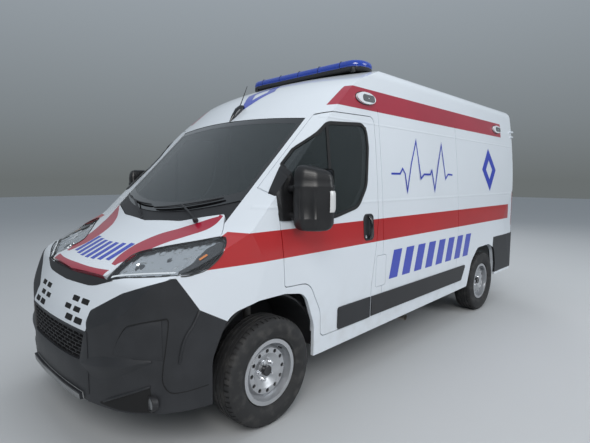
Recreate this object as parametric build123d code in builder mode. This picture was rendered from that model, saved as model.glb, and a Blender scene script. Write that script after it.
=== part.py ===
from build123d import *
import os
from math import cos, radians, sin

# Panel-van ambulance in millimetres: +X forward, +Y left, +Z up, origin on the ground at mid-length

# Overall sizes
LENGTH = 5413
WIDTH = 2050
ROOF_HEIGHT = 2524
WHEELBASE = 3450
FRONT_OVERHANG = 948
FRONT_TRACK = 1810
REAR_TRACK = 1790

HALF = WIDTH / 2
FRONT_X = LENGTH / 2 - FRONT_OVERHANG
REAR_X = FRONT_X - WHEELBASE
TAIL_X = -LENGTH / 2

# Wall build-up, measured inwards from the painted skin
WALL = 60
DOOR_THICKNESS = 45
PANEL = 25
GLASS_DEPTH = 3
GLASS_THICKNESS = 5
SEAT_GAP = 0.3
GLASS_SEAT = GLASS_DEPTH + GLASS_THICKNESS + SEAT_GAP
DOOR_GAP = 6
LIP = 22
STRIP_HEIGHT = 8

# Wheels and tyres
TYRE_RADIUS = 345
TYRE_WIDTH = 215
RIM_FLANGE_RADIUS = 208
RIM_WIDTH = 165
SPINDLE_RADIUS = 32
BEARING_CLEARANCE = 0.05
KINGPIN_INSET = 145

# Heights
BELT_Z = 1050
SILL_Z = 340
FLOOR_Z = 560
FLOOR_THICKNESS = 40
RAIL_BOTTOM_Z = 385
RAIL_HALF_GAUGE = 470
RAIL_WIDTH = 60
BODY_BOTTOM_Z = 250

# Ends and centre lines of the outer form
REAR_SKIN_X = TAIL_X + 35
NOSE_X = FRONT_X + FRONT_OVERHANG
CROWN_AXIS_X = FRONT_X - 3500
GLASS_HALF = HALF - 238
BROW_RISE = 6
UNDER_Z = 100

# Side silhouette from the nose to the crown of the roof: distance ahead of the front axle, height
BROW_TOP = ROOF_HEIGHT + BROW_RISE
SILHOUETTE = (
    (905, UNDER_Z), (948, 480), (930, 730), (800, 1000), (310, 1245), (-450, 2005), (-800, ROOF_HEIGHT - 224),
    (-1400, BROW_TOP), (CROWN_AXIS_X - FRONT_X, BROW_TOP))
SILHOUETTE_RADII = (500, 400, 110, 320, 900, 900, 2200)

# Half cross-section: tuck of the lower side, bulge of the upper side, shoulder and crown
LOWER_TUCK = 22
UPPER_SIDE = (HALF - 45, 1750)
SHOULDER = (HALF - 130, ROOF_HEIGHT - 84)
SHOULDER_RADIUS = 120
SHOULDER_BAND = 10
CROWN_DROP = 18

# Half plan: points on the front arc, the end of the corner arc, the flank, and the corner at the tail
PLAN_FRONT = ((FRONT_X + 925, 350), (FRONT_X + 862, HALF - 405))
PLAN_CORNER = (FRONT_X + 420, HALF - 35)
PLAN_FLANK = (FRONT_X - 700, HALF + 15)
PLAN_REAR_BEND = (REAR_X - 250, HALF + 15)
PLAN_RADII = (900, 85)
PLAN_START_Z = BODY_BOTTOM_Z - 50
END_SPARE = 100


def from_front(points):
    """Points given as distance ahead of the front axle and height, in the vehicle's frame."""
    return [(FRONT_X + ahead, z) for ahead, z in points]


def from_rear(points):
    """Points given as distance ahead of the rear axle and height, in the vehicle's frame."""
    return [(REAR_X + ahead, z) for ahead, z in points]


def envelope(inset):
    """The closed outer form of the bodywork, moved inwards by an inset."""
    outline = from_front(SILHOUETTE)
    middle_z = (BROW_TOP + UNDER_Z) / 2
    with BuildPart() as form:
        # Side silhouette, turned about a far upright axis for the crown of nose, screen and brow
        with BuildSketch(Plane.XZ):
            with BuildLine():
                FilletPolyline(outline, radius=list(SILHOUETTE_RADII))
                Polyline([outline[-1], (CROWN_AXIS_X, UNDER_Z), outline[0]])
            make_face()
            if inset:
                offset(amount=-inset)
                with Locations((CROWN_AXIS_X, middle_z)):
                    Rectangle(4 * inset, BROW_TOP - UNDER_Z - 2 * inset)
                with Locations((CROWN_AXIS_X + LENGTH / 2, middle_z)):
                    Rectangle(LENGTH, 2 * ROOF_HEIGHT, mode=Mode.INTERSECT)
        revolve(axis=Axis((CROWN_AXIS_X, 0, 0), (0, 0, 1)))
        # Cross-section with upright lower sides, sides that lean in above the belt and a crowned roof
        with BuildSketch(Plane.YZ.offset(TAIL_X - END_SPARE)):
            with BuildLine():
                Polyline([(0, BODY_BOTTOM_Z), (HALF - LOWER_TUCK, BODY_BOTTOM_Z), (HALF, BELT_Z)])
                ThreePointArc((HALF, BELT_Z), UPPER_SIDE, SHOULDER)
                ThreePointArc(SHOULDER, (HALF / 2, ROOF_HEIGHT - CROWN_DROP), (0, ROOF_HEIGHT))
                Line((0, ROOF_HEIGHT), (0, BODY_BOTTOM_Z))
            make_face()
            mirror(about=Plane.YZ)
            shoulders = vertices().filter_by_position(Axis.Y, SHOULDER[1] - SHOULDER_BAND, SHOULDER[1] + SHOULDER_BAND)
            fillet(shoulders, SHOULDER_RADIUS)
            if inset:
                offset(amount=-inset)
        extrude(amount=LENGTH + 2 * END_SPARE, mode=Mode.INTERSECT)
        # Plan outline with the swept nose corners and the slightly drawn-in tail
        with BuildSketch(Plane.XY.offset(PLAN_START_Z)):
            with BuildLine():
                front = ThreePointArc((NOSE_X, 0), *PLAN_FRONT)
                corner = TangentArc([front @ 1, PLAN_CORNER], tangent=front % 1)
                flank = TangentArc([corner @ 1, PLAN_FLANK], tangent=corner % 1)
                tail = [flank @ 1, PLAN_REAR_BEND, (REAR_SKIN_X, HALF - LOWER_TUCK), (REAR_SKIN_X, 0)]
                FilletPolyline(tail, radius=list(PLAN_RADII))
                Line((REAR_SKIN_X, 0), (NOSE_X, 0))
            make_face()
            mirror(about=Plane.XZ)
            if inset:
                offset(amount=-inset)
        extrude(amount=ROOF_HEIGHT, mode=Mode.INTERSECT)
    return form.part


FORMS = {inset: envelope(inset) for inset in (
    0, GLASS_DEPTH, GLASS_DEPTH + GLASS_THICKNESS, GLASS_SEAT, PANEL, PANEL + SEAT_GAP,
    DOOR_THICKNESS, DOOR_THICKNESS + SEAT_GAP, WALL, WALL + SEAT_GAP)}


def side_prism(points, radii, low_y, high_y, grow=0):
    """A prism across the vehicle from a side-view outline, between two distances from its middle."""
    with BuildPart() as prism:
        with BuildSketch(Plane.XZ.offset(-low_y)):
            with BuildLine():
                FilletPolyline(points, radius=radii, close=True)
            make_face()
            if grow:
                offset(amount=grow)
        extrude(amount=low_y - high_y)
    return prism.part


def plane_prism(plane, points, radii, above, below, grow=0):
    """A prism through a working plane, reaching above and below it."""
    with BuildPart() as prism:
        with BuildSketch(plane.offset(-below)):
            with BuildLine():
                FilletPolyline(points, radius=radii, close=True)
            make_face()
            if grow:
                offset(amount=grow)
        extrude(amount=above + below)
    return prism.part


def block(low, high):
    """A plain box between two corners."""
    middle = ((low[0] + high[0]) / 2, (low[1] + high[1]) / 2)
    with BuildPart() as box:
        with BuildSketch(Plane.XY.offset(low[2])):
            with Locations(middle):
                Rectangle(high[0] - low[0], high[1] - low[1])
        extrude(amount=high[2] - low[2])
    return box.part


def both(piece):
    """A left-hand piece with its mirror image on the right."""
    with BuildPart() as pair:
        add(piece)
        mirror(about=Plane.XZ)
    return pair.part


def flipped(piece):
    """The right-hand twin of a left-hand piece."""
    with BuildPart() as twin:
        mirror(piece, about=Plane.XZ)
    return twin.part


def beyond(prism, inset):
    """The part of a prism that lies outside the form at an inset: room for a panel and its gap."""
    with BuildPart() as space:
        add(prism)
        add(FORMS[inset], mode=Mode.SUBTRACT)
    return space.part


def within(prism, outer, inner):
    """The part of a prism that lies in the wall between two insets."""
    with BuildPart() as panel:
        add(FORMS[outer])
        add(prism, mode=Mode.INTERSECT)
        add(FORMS[inner], mode=Mode.SUBTRACT)
    return panel.part


BAND_START_X = FRONT_X - 800
BAND_LENGTH = 1300


def screen_band(low_middle, low_edge, high_middle, high_edge, half):
    """The space between two arched lines seen from the front, for the windscreen and what borders it."""
    with BuildPart() as band:
        with BuildSketch(Plane.YZ.offset(BAND_START_X)):
            with BuildLine():
                ThreePointArc((-half, low_edge), (0, low_middle), (half, low_edge))
                Line((half, low_edge), (half, high_edge))
                ThreePointArc((half, high_edge), (0, high_middle), (-half, high_edge))
                Line((-half, high_edge), (-half, low_edge))
            make_face()
        extrude(amount=BAND_LENGTH)
    return band.part


def split_table(table, place):
    """Outline corners, placed, and their radii."""
    return place([(ahead, z) for ahead, z, _ in table]), [radius for _, _, radius in table]


def on_plane(plane, table):
    """Corners given as distance ahead of the front axle, distance left, height and radius, seen on a plane."""
    corners = [plane.to_local_coords(Vector(FRONT_X + ahead, left, z)) for ahead, left, z, _ in table]
    return [(corner.X, corner.Y) for corner in corners], [radius for _, _, _, radius in table]


def save(piece, name):
    """Label a finished piece and write it."""
    piece.label = name
    export_step(piece, f"parts/{name}.step")


os.makedirs("parts", exist_ok=True)

FAR_Y = HALF + 60
NEAR_Y = 400
BODY_TOP_Z = ROOF_HEIGHT + 60
BEHIND_TAIL_X = TAIL_X - 40
SIDE_BOTTOM_Z = SILL_Z + 30

# Side-view outlines: distance ahead of the front axle, height, corner radius
DOOR_OUTLINE = (
    (-455, 462, 40), (-450, 640, 150), (-330, 868, 120), (-98, 877, 20), (-74, 1180, 0), (-38, 1480, 60),
    (-75, 1600, 120), (-300, 1862, 250), (-600, 2022, 250), (-1148, 2037, 60), (-1143, 1255, 0), (-1061, 700, 0),
    (-1056, 462, 40))
WINDOW_OUTLINE = (
    (-130, 1302, 50), (-112, 1500, 60), (-230, 1690, 120), (-560, 1945, 160), (-1030, 1975, 90), (-1045, 1800, 150),
    (-1000, 1500, 200), (-880, 1345, 140), (-600, 1285, 300))
FRONT_ARCH = (
    (-388, 150, 0), (-384, 560, 150), (-290, 800, 130), (-100, 833, 120), (120, 833, 150), (330, 790, 150),
    (436, 560, 200), (440, 150, 0))
SIDE_SEAM = (
    (-4600, SIDE_BOTTOM_Z, 0), (-3000, SIDE_BOTTOM_Z, 0), (-455, SILL_Z, 0), (-455, 470, 0), (-412, 500, 0),
    (-410, 640, 0), (-300, 838, 0), (62, 850, 0), (62, 1389, 0), (140, 1345, 0),
    (140, BODY_TOP_Z, 0), (-4600, BODY_TOP_Z, 0))
WING_REGION = (
    (-455, SILL_Z, 0), (-480, 640, 0), (-360, 910, 0), (-110, 910, 0), (-90, 1180, 0), (-60, 1453, 0), (0, 1425, 0),
    (140, 1345, 0), (560, 1345, 0), (700, 1035, 0), (612, 1032, 0), (501, 850, 0), (330, 752, 0), (330, SILL_Z, 0))
BUMPER_REGION = (
    (1100, 1045, 0), (612, 1032, 0), (501, 850, 0), (330, 752, 0), (330, 200, 0), (1100, 200, 0))
SLIDING_OUTLINE = ((-1215, 420, 40), (-2560, 420, 40), (-2560, 2105, 60), (-1215, 2105, 60))
SLIDING_WINDOW = ((-1500, 1400, 90), (-2280, 1400, 90), (-2280, 1890, 90), (-1500, 1890, 90))
FLAP_OUTLINE = ((-1264, 692, 18), (-1124, 692, 18), (-1124, 942, 18), (-1264, 942, 18))
HANDLE_OUTLINE = ((-1075, 1085, 40), (-945, 1085, 40), (-940, 1285, 40), (-1070, 1285, 40))
DOOR_STRIP = ((-640, 465, 20), (-640, 627, 20), (-1049, 627, 0), (-1048, 465, 0))
SIDE_STRIP = ((-1068, 467, 0), (-1069, 627, 0), (-2892, 627, 20), (-2795, 467, 20))
# Side-view outlines: distance ahead of the rear axle, height, corner radius
REAR_ARCH = (
    (480, 150, 0), (480, 374, 0), (390, 640, 200), (225, 778, 120), (-110, 786, 160), (-300, 720, 140),
    (-378, 520, 100), (-378, 150, 0))

door_points, door_radii = split_table(DOOR_OUTLINE, from_front)
window_points, window_radii = split_table(WINDOW_OUTLINE, from_front)
front_arch_points, front_arch_radii = split_table(FRONT_ARCH, from_front)
rear_arch_points, rear_arch_radii = split_table(REAR_ARCH, from_rear)


# The front doors stop short of the windscreen, which leaves the front pillar
DOOR_NEAR_Y = GLASS_HALF + 45


def side_opening(points, radii, grow=0, near_y=NEAR_Y):
    """A side-view outline carried through the left wall."""
    return side_prism(points, radii, near_y, FAR_Y, grow=grow)


# Doors at the tail, seen from behind
REAR_DOOR_BOTTOM_Z = 590
REAR_DOOR_TOP_Z = ROOF_HEIGHT - 190
REAR_DOOR_HALF = HALF - 118
REAR_DOOR_TOP_HALF = HALF - 185
REAR_DOOR_RADII = (20, 20, 600, 70, 70, 600)
DOOR_WAIST_Z = 1500
TAIL_REACH = (WALL + 5, 60)


def tail_opening(grow):
    """The tail opening seen from behind, carried through the rear wall."""
    half = REAR_DOOR_HALF + grow
    top_half = REAR_DOOR_TOP_HALF + grow
    corners = [
        (-half, REAR_DOOR_BOTTOM_Z - grow), (half, REAR_DOOR_BOTTOM_Z - grow), (half, DOOR_WAIST_Z),
        (top_half, REAR_DOOR_TOP_Z + grow), (-top_half, REAR_DOOR_TOP_Z + grow), (-half, DOOR_WAIST_Z)]
    return plane_prism(Plane.YZ.offset(REAR_SKIN_X), corners, list(REAR_DOOR_RADII), *TAIL_REACH)


# Rear bumper: corners that rise below the lamps and a low step between them
REAR_BUMPER_TOP_Z = 857
REAR_BUMPER_STEP_Z = REAR_DOOR_BOTTOM_Z - 15
REAR_BUMPER_BOTTOM_Z = 400
REAR_BUMPER_FRONT = -3700
REAR_BUMPER_STEP_X = REAR_X - 640
BUMPER_REACH = REAR_SKIN_X - TAIL_X
BUMPER_ARCH_GAP = 2
LAMP_GAP = 6
corner_low = (BEHIND_TAIL_X, REAR_DOOR_HALF + DOOR_GAP + BUMPER_ARCH_GAP, REAR_BUMPER_BOTTOM_Z)
corner_high = (FRONT_X + REAR_BUMPER_FRONT, FAR_Y, REAR_BUMPER_TOP_Z)
step_high = (REAR_BUMPER_STEP_X, FAR_Y, REAR_BUMPER_STEP_Z)
with BuildPart() as rear_bumper_region:
    add(both(block(corner_low, corner_high)))
    add(block((BEHIND_TAIL_X, -FAR_Y, REAR_BUMPER_BOTTOM_Z), step_high))
with BuildPart() as rear_bumper:
    add(FORMS[0].moved(Location((-BUMPER_REACH, 0, 0))))
    add(rear_bumper_region.part, mode=Mode.INTERSECT)
    add(FORMS[PANEL], mode=Mode.SUBTRACT)
    add(both(side_opening(rear_arch_points, rear_arch_radii, BUMPER_ARCH_GAP)), mode=Mode.SUBTRACT)
save(rear_bumper.part, "rear_bumper")

# Tail lamps: upright lamps set into the rear corner posts
TAIL_LAMP_BOTTOM_Z = 960
TAIL_LAMP_TOP_Z = 1400
TAIL_LAMP_DEPTH = 95
lamp_low = (BEHIND_TAIL_X, REAR_DOOR_HALF + DOOR_GAP + LAMP_GAP, TAIL_LAMP_BOTTOM_Z)
lamp_high = (REAR_SKIN_X + TAIL_LAMP_DEPTH, FAR_Y, TAIL_LAMP_TOP_Z)
tail_lamp_room = block(lamp_low, lamp_high)
tail_lamps = both(within(tail_lamp_room, 0, PANEL))
save(tail_lamps, "tail_lamps")

# Body sides: sill, pillars, cant rail and quarter panel, with lips for the doors and the windscreen to lie on
side_points, side_radii = split_table(SIDE_SEAM, from_front)
wing_points, wing_radii = split_table(WING_REGION, from_front)
flap_points, flap_radii = split_table(FLAP_OUTLINE, from_front)
sliding_points, sliding_radii = split_table(SLIDING_OUTLINE, from_front)
SCREEN_TOP = (2020, 1986)
SCREEN_BOTTOM = (1318, 1418)
screen_room = screen_band(*SCREEN_BOTTOM, *SCREEN_TOP, GLASS_HALF)
with BuildPart() as screen_lip_room:
    add(screen_room)
    add(block((BEHIND_TAIL_X, -GLASS_HALF + LIP, 0), (NOSE_X, GLASS_HALF - LIP, BODY_TOP_Z)), mode=Mode.SUBTRACT)
with BuildPart() as screen_lips:
    add(within(screen_lip_room.part, GLASS_SEAT, WALL))
# The front edge of the door swings back along the pillar, which has no lip there
DOOR_SWING_LOW = (FRONT_X - 620, NEAR_Y, 1385)
with BuildPart() as door_swing_room:
    add(side_opening(door_points, door_radii, DOOR_GAP, DOOR_NEAR_Y - DOOR_GAP))
    add(block(DOOR_SWING_LOW, (FRONT_X, FAR_Y, BODY_TOP_Z)), mode=Mode.INTERSECT)
with BuildPart() as side_blank:
    add(FORMS[0])
    add(FORMS[WALL], mode=Mode.SUBTRACT)
    add(side_opening(side_points, side_radii, near_y=GLASS_HALF), mode=Mode.INTERSECT)
    add(screen_lips.part.solids().sort_by(Axis.Y)[-1])
    add(side_opening(door_points, door_radii, -LIP, DOOR_NEAR_Y + LIP), mode=Mode.SUBTRACT)
    add(door_swing_room.part, mode=Mode.SUBTRACT)
    add(beyond(side_opening(door_points, door_radii, DOOR_GAP, DOOR_NEAR_Y - DOOR_GAP), DOOR_THICKNESS + SEAT_GAP),
        mode=Mode.SUBTRACT)
    add(beyond(side_opening(wing_points, wing_radii), PANEL + SEAT_GAP), mode=Mode.SUBTRACT)
    add(side_opening(rear_arch_points, rear_arch_radii), mode=Mode.SUBTRACT)
    add(tail_opening(-LIP), mode=Mode.SUBTRACT)
    add(beyond(tail_opening(DOOR_GAP), DOOR_THICKNESS + SEAT_GAP), mode=Mode.SUBTRACT)
    add(beyond(rear_bumper_region.part, PANEL + SEAT_GAP), mode=Mode.SUBTRACT)
    add(beyond(tail_lamp_room, PANEL + SEAT_GAP), mode=Mode.SUBTRACT)

FLAP_GAP = 5
FLAP_RIM = 8
FLAP_POCKET_DEPTH = 40
PANEL_GROOVES = (-1215, -2655)
GROOVE_WIDTH = 6
GROOVE_Z = (440, 2105)
with BuildPart() as side_left:
    add(side_blank.part)
    add(beyond(side_opening(flap_points, flap_radii, FLAP_GAP), GLASS_SEAT), mode=Mode.SUBTRACT)
    add(side_opening(flap_points, flap_radii, -FLAP_RIM, near_y=HALF - FLAP_POCKET_DEPTH), mode=Mode.SUBTRACT)
    for ahead in PANEL_GROOVES:
        groove_x = FRONT_X + ahead
        groove = block((groove_x - GROOVE_WIDTH / 2, NEAR_Y, GROOVE_Z[0]), (groove_x + GROOVE_WIDTH / 2, FAR_Y, GROOVE_Z[1]))
        add(beyond(groove, GLASS_SEAT), mode=Mode.SUBTRACT)
save(side_left.part, "side_left")

with BuildPart() as fuel_flap:
    add(within(side_opening(flap_points, flap_radii), 0, GLASS_DEPTH + GLASS_THICKNESS))
save(fuel_flap.part, "fuel_flap")


# The right side differs: it has the sliding door's opening and no fuel flap
sliding_prism = side_opening(sliding_points, sliding_radii)
SLIDING_GAP = 5
with BuildPart() as right_blank:
    add(side_blank.part)
    add(side_opening(sliding_points, sliding_radii, -LIP), mode=Mode.SUBTRACT)
    add(beyond(side_opening(sliding_points, sliding_radii, SLIDING_GAP), DOOR_THICKNESS + SEAT_GAP),
        mode=Mode.SUBTRACT)
side_right = flipped(right_blank.part)
save(side_right, "side_right")

# A pane lies in a rebate, on a lip left all round its window
PANE_GAP = 1
PANE_LIP = 16


def glazed(panel, points, radii, near_y=NEAR_Y):
    """A left-hand panel with a window cut through it, and the pane that fills the window."""
    with BuildPart() as frame:
        add(panel)
        add(side_opening(points, radii, -PANE_LIP, near_y + PANE_LIP), mode=Mode.SUBTRACT)
        add(beyond(side_opening(points, radii, PANE_GAP, near_y - PANE_GAP), GLASS_SEAT), mode=Mode.SUBTRACT)
    return frame.part, within(side_opening(points, radii, 0, near_y), GLASS_DEPTH, GLASS_DEPTH + GLASS_THICKNESS)


sliding_window_points, sliding_window_radii = split_table(SLIDING_WINDOW, from_front)
sliding_leaf, sliding_pane = glazed(
    within(sliding_prism, 0, DOOR_THICKNESS), sliding_window_points, sliding_window_radii)
save(flipped(sliding_leaf), "sliding_door")
save(flipped(sliding_pane), "sliding_door_glass")

# Front doors: the leaf with its strip, handle recess and window, and the pane
handle_points, handle_radii = split_table(HANDLE_OUTLINE, from_front)
strip_points, strip_radii = split_table(DOOR_STRIP, from_front)
HANDLE_DEPTH = PANEL
GRIP = ((-1032, 1078), (-984, 1292))
raised_form = FORMS[0].moved(Location((0, STRIP_HEIGHT, 0)))
with BuildPart() as front_leaf:
    add(within(side_opening(door_points, door_radii, 0, DOOR_NEAR_Y), 0, DOOR_THICKNESS))
    add(beyond(side_opening(handle_points, handle_radii), HANDLE_DEPTH), mode=Mode.SUBTRACT)
    add(within(block((FRONT_X + GRIP[0][0], NEAR_Y, GRIP[0][1]), (FRONT_X + GRIP[1][0], FAR_Y, GRIP[1][1])),
               0, GLASS_DEPTH + GLASS_THICKNESS))
with BuildPart() as door_strip:
    add(raised_form)
    add(side_opening(strip_points, strip_radii), mode=Mode.INTERSECT)
    add(FORMS[0], mode=Mode.SUBTRACT)
with BuildPart() as front_door_blank:
    add(front_leaf.part)
    add(door_strip.part)
WINDOW_NEAR_Y = DOOR_NEAR_Y + 40
front_door_left, front_glass_left = glazed(front_door_blank.part, window_points, window_radii, WINDOW_NEAR_Y)
save(front_door_left, "front_door_left")
save(front_glass_left, "front_glass_left")
save(flipped(front_door_left), "front_door_right")
save(flipped(front_glass_left), "front_glass_right")

# Rubbing strips on the body behind the doors
side_strip_points, side_strip_radii = split_table(SIDE_STRIP, from_front)
with BuildPart() as side_strip:
    add(raised_form)
    add(side_opening(side_strip_points, side_strip_radii), mode=Mode.INTERSECT)
    add(FORMS[0], mode=Mode.SUBTRACT)
save(both(side_strip.part), "side_strips")


# Nose: working planes on the bonnet's slope and square to the headlamp
BONNET_SLOPE = 26
LAMP_TURN = 45
LAMP_TILT = 44
bonnet_plane = Plane(
    origin=(FRONT_X + 300, 0, 1250), x_dir=(cos(radians(BONNET_SLOPE)), 0, -sin(radians(BONNET_SLOPE))),
    z_dir=(sin(radians(BONNET_SLOPE)), 0, cos(radians(BONNET_SLOPE))))
lamp_plane = Plane(
    origin=(FRONT_X + 520, HALF - 265, 1090), x_dir=(sin(radians(LAMP_TURN)), -cos(radians(LAMP_TURN)), 0),
    z_dir=(cos(radians(LAMP_TILT)) * cos(radians(LAMP_TURN)), cos(radians(LAMP_TILT)) * sin(radians(LAMP_TURN)),
           sin(radians(LAMP_TILT))))
# Corners on the skin: distance ahead of the front axle, distance left of the middle, height, corner radius
BONNET_HALF = (
    (805, 0, 985, 0), (775, HALF - 570, 1000, 30), (665, HALF - 597, 1056, 60), (568, HALF - 610, 1104, 60),
    (459, HALF - 454, 1148, 60), (360, HALF - 292, 1185, 30), (268, HALF - 174, 1217, 25),
    (150, HALF - 290, 1335, 20), (172, HALF - 359, 1321, 0), (260, HALF - 625, 1273, 300), (300, 0, 1250, 0))
LAMP_EDGE = (
    (783, HALF - 552, 985, 10), (665, HALF - 590, 1056, 30), (568, HALF - 601, 1104, 25),
    (459, HALF - 448, 1150, 30), (360, HALF - 286, 1187, 20), (268, HALF - 150, 1217, 8),
    (290, HALF - 85, 1200, 8), (356, HALF - 28, 1153, 15), (438, HALF - 38, 1074, 20), (519, HALF - 58, 1044, 10),
    (602, HALF - 100, 1040, 10), (691, HALF - 286, 1021, 30), (768, HALF - 495, 987, 8))
BONNET_GAP = 6
BONNET_BELOW = 170
BONNET_ABOVE = 200
LAMP_ABOVE = 300
LAMP_BELOW = 180
WING_NEAR_Y = NEAR_Y + 40
half_points, half_radii = on_plane(bonnet_plane, BONNET_HALF)


def bonnet_prism(grow):
    """The bonnet's outline carried square to its slope."""
    with BuildPart() as prism:
        with BuildSketch(bonnet_plane.offset(-BONNET_BELOW)):
            with BuildLine():
                edge = FilletPolyline(half_points, radius=half_radii[1:-1])
                Line(edge @ 1, edge @ 0)
            make_face()
            mirror(about=Plane.XZ)
            if grow:
                offset(amount=grow)
        extrude(amount=BONNET_BELOW + BONNET_ABOVE)
    return prism.part


def lamp_prism(grow=0):
    """The left headlamp's outline carried square to its own plane."""
    points, radii = on_plane(lamp_plane, LAMP_EDGE)
    return plane_prism(lamp_plane, points, radii, LAMP_ABOVE, LAMP_BELOW, grow=grow)


lamp_room = both(lamp_prism())
bonnet_room = bonnet_prism(BONNET_GAP)

with BuildPart() as bonnet:
    add(within(bonnet_prism(0), 0, PANEL))
    add(both(lamp_prism(BONNET_GAP)), mode=Mode.SUBTRACT)
save(bonnet.part, "bonnet")

LENS_TUCK = 12
headlamp_glass = both(within(lamp_prism(), 0, GLASS_DEPTH + GLASS_THICKNESS))
with BuildPart() as headlamps:
    add(both(within(lamp_prism(), GLASS_SEAT, WALL)))
    add(both(within(lamp_prism(-LENS_TUCK), GLASS_SEAT, DOOR_THICKNESS)), mode=Mode.SUBTRACT)
save(headlamp_glass, "headlamp_glass")
save(headlamps.part, "headlamps")

# White front panel with its staggered slots, between the bonnet's lip and the bumper
PANEL_HALF = (
    (0, 706), (HALF - 557, 706), (HALF - 585, 752), (HALF - 585, 815), (HALF - 365, 936), (HALF - 92, 1034),
    (HALF - 130, 1060), (HALF - 286, 1026), (HALF - 495, 992), (HALF - 552, 972), (HALF - 610, 952), (0, 946))
PANEL_RADII = (14, 20, 20, 60, 20, 10, 0, 0, 0, 0)
SLOT_ROWS = ((745, 0), (795, 1), (845, 0))
SLOT_PITCH = 118
SLOT_LENGTH = 84
SLOT_HEIGHT = 28
SLOT_CORNER = 6
SLOT_STEPS = 4
SLOT_REACH = 420
BARE_HALF = 150
BARE_SHIFT = 60
VIEW_START_X = FRONT_X + 300
SLOT_START_X = FRONT_X + 600


def front_view(points, radii, grow=0):
    """Half an outline seen from the front, mirrored and carried back through the nose."""
    with BuildPart() as prism:
        with BuildSketch(Plane.YZ.offset(VIEW_START_X)):
            with BuildLine():
                edge = FilletPolyline(points, radius=radii)
                Line(edge @ 1, edge @ 0)
            make_face()
            mirror(about=Plane.YZ)
            if grow:
                offset(amount=grow)
        extrude(amount=FRONT_OVERHANG)
    return prism.part


with BuildPart() as slots:
    with BuildSketch(Plane.YZ.offset(SLOT_START_X)):
        for z, shift in SLOT_ROWS:
            for step in range(-SLOT_STEPS, SLOT_STEPS + 1):
                y = (step + 0.5 * shift) * SLOT_PITCH
                bare = BARE_HALF - BARE_SHIFT * shift
                if abs(y) + SLOT_LENGTH / 2 < SLOT_REACH and abs(y) - SLOT_LENGTH / 2 > bare:
                    with Locations((y, z)):
                        RectangleRounded(SLOT_LENGTH, SLOT_HEIGHT, SLOT_CORNER)
    extrude(amount=FRONT_OVERHANG)
front_panel_room = front_view(PANEL_HALF, PANEL_RADII)
with BuildPart() as front_panel:
    add(within(front_panel_room, 0, PANEL))
    add(lamp_room, mode=Mode.SUBTRACT)
    add(bonnet_room, mode=Mode.SUBTRACT)
    add(slots.part, mode=Mode.SUBTRACT)
    add(both(side_opening(wing_points, wing_radii, 0, WING_NEAR_Y)), mode=Mode.SUBTRACT)
save(front_panel.part, "front_panel")

# Bumper with the lower intake, and the carrier that holds the nose pieces
BUMPER_BOTTOM_Z = 305
INTAKE_HALF = ((0, 400), (HALF - 595, 400), (HALF - 565, 690), (0, 690))
INTAKE_RADII = (40, 30)
BUMPER_TOP_Z = 1100
BUMPER_NOSE_X = NOSE_X + 10
ABOVE_BUMPER = (
    (0, 940), (HALF - 360, 940), (HALF - 100, 1030), (HALF + 60, 1060), (HALF + 60, 1150), (0, 1150))
ABOVE_BUMPER_RADII = (0, 0, 0, 0)
bumper_points, bumper_radii = split_table(BUMPER_REGION, from_front)
intake_room = front_view(INTAKE_HALF, INTAKE_RADII)
with BuildPart() as front_bumper:
    add(FORMS[0])
    add(block((FRONT_X, -FAR_Y, BUMPER_BOTTOM_Z), (BUMPER_NOSE_X, FAR_Y, BUMPER_TOP_Z)), mode=Mode.INTERSECT)
    add(both(side_prism(bumper_points, bumper_radii, 0, FAR_Y)), mode=Mode.INTERSECT)
    add(FORMS[PANEL], mode=Mode.SUBTRACT)
    add(front_panel_room, mode=Mode.SUBTRACT)
    add(lamp_room, mode=Mode.SUBTRACT)
    add(front_view(ABOVE_BUMPER, ABOVE_BUMPER_RADII), mode=Mode.SUBTRACT)
    add(intake_room, mode=Mode.SUBTRACT)
    add(both(side_opening(front_arch_points, front_arch_radii)), mode=Mode.SUBTRACT)
# A lip along the bumper's lower edge makes the foremost line of the nose
LOWER_LIP = ((700, -410, 305), (948, 410, 345))
LOWER_LIP_REACH = 20
lip_low = (FRONT_X + LOWER_LIP[0][0], *LOWER_LIP[0][1:])
with BuildPart() as lower_lip:
    add(FORMS[0].moved(Location((LOWER_LIP_REACH, 0, 0))))
    add(block(lip_low, (NOSE_X, *LOWER_LIP[1][1:])), mode=Mode.INTERSECT)
    add(FORMS[0].moved(Location((SEAT_GAP, 0, 0))), mode=Mode.SUBTRACT)
with BuildPart() as bumper_with_lip:
    add(front_bumper.part)
    add(lower_lip.part)
save(bumper_with_lip.part, "front_bumper")

WING_SCREEN_LOW = (1100, 1200)
with BuildPart() as wings:
    add(within(side_opening(wing_points, wing_radii, near_y=WING_NEAR_Y), 0, PANEL))
    add(side_opening(door_points, door_radii, DOOR_GAP), mode=Mode.SUBTRACT)
    add(bonnet_room, mode=Mode.SUBTRACT)
    add(lamp_prism(), mode=Mode.SUBTRACT)
    add(screen_band(*WING_SCREEN_LOW, *SCREEN_TOP, GLASS_HALF), mode=Mode.SUBTRACT)
    add(side_opening(front_arch_points, front_arch_radii), mode=Mode.SUBTRACT)
save(both(wings.part.solids().sort_by(SortBy.VOLUME)[-1]), "wings")


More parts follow.
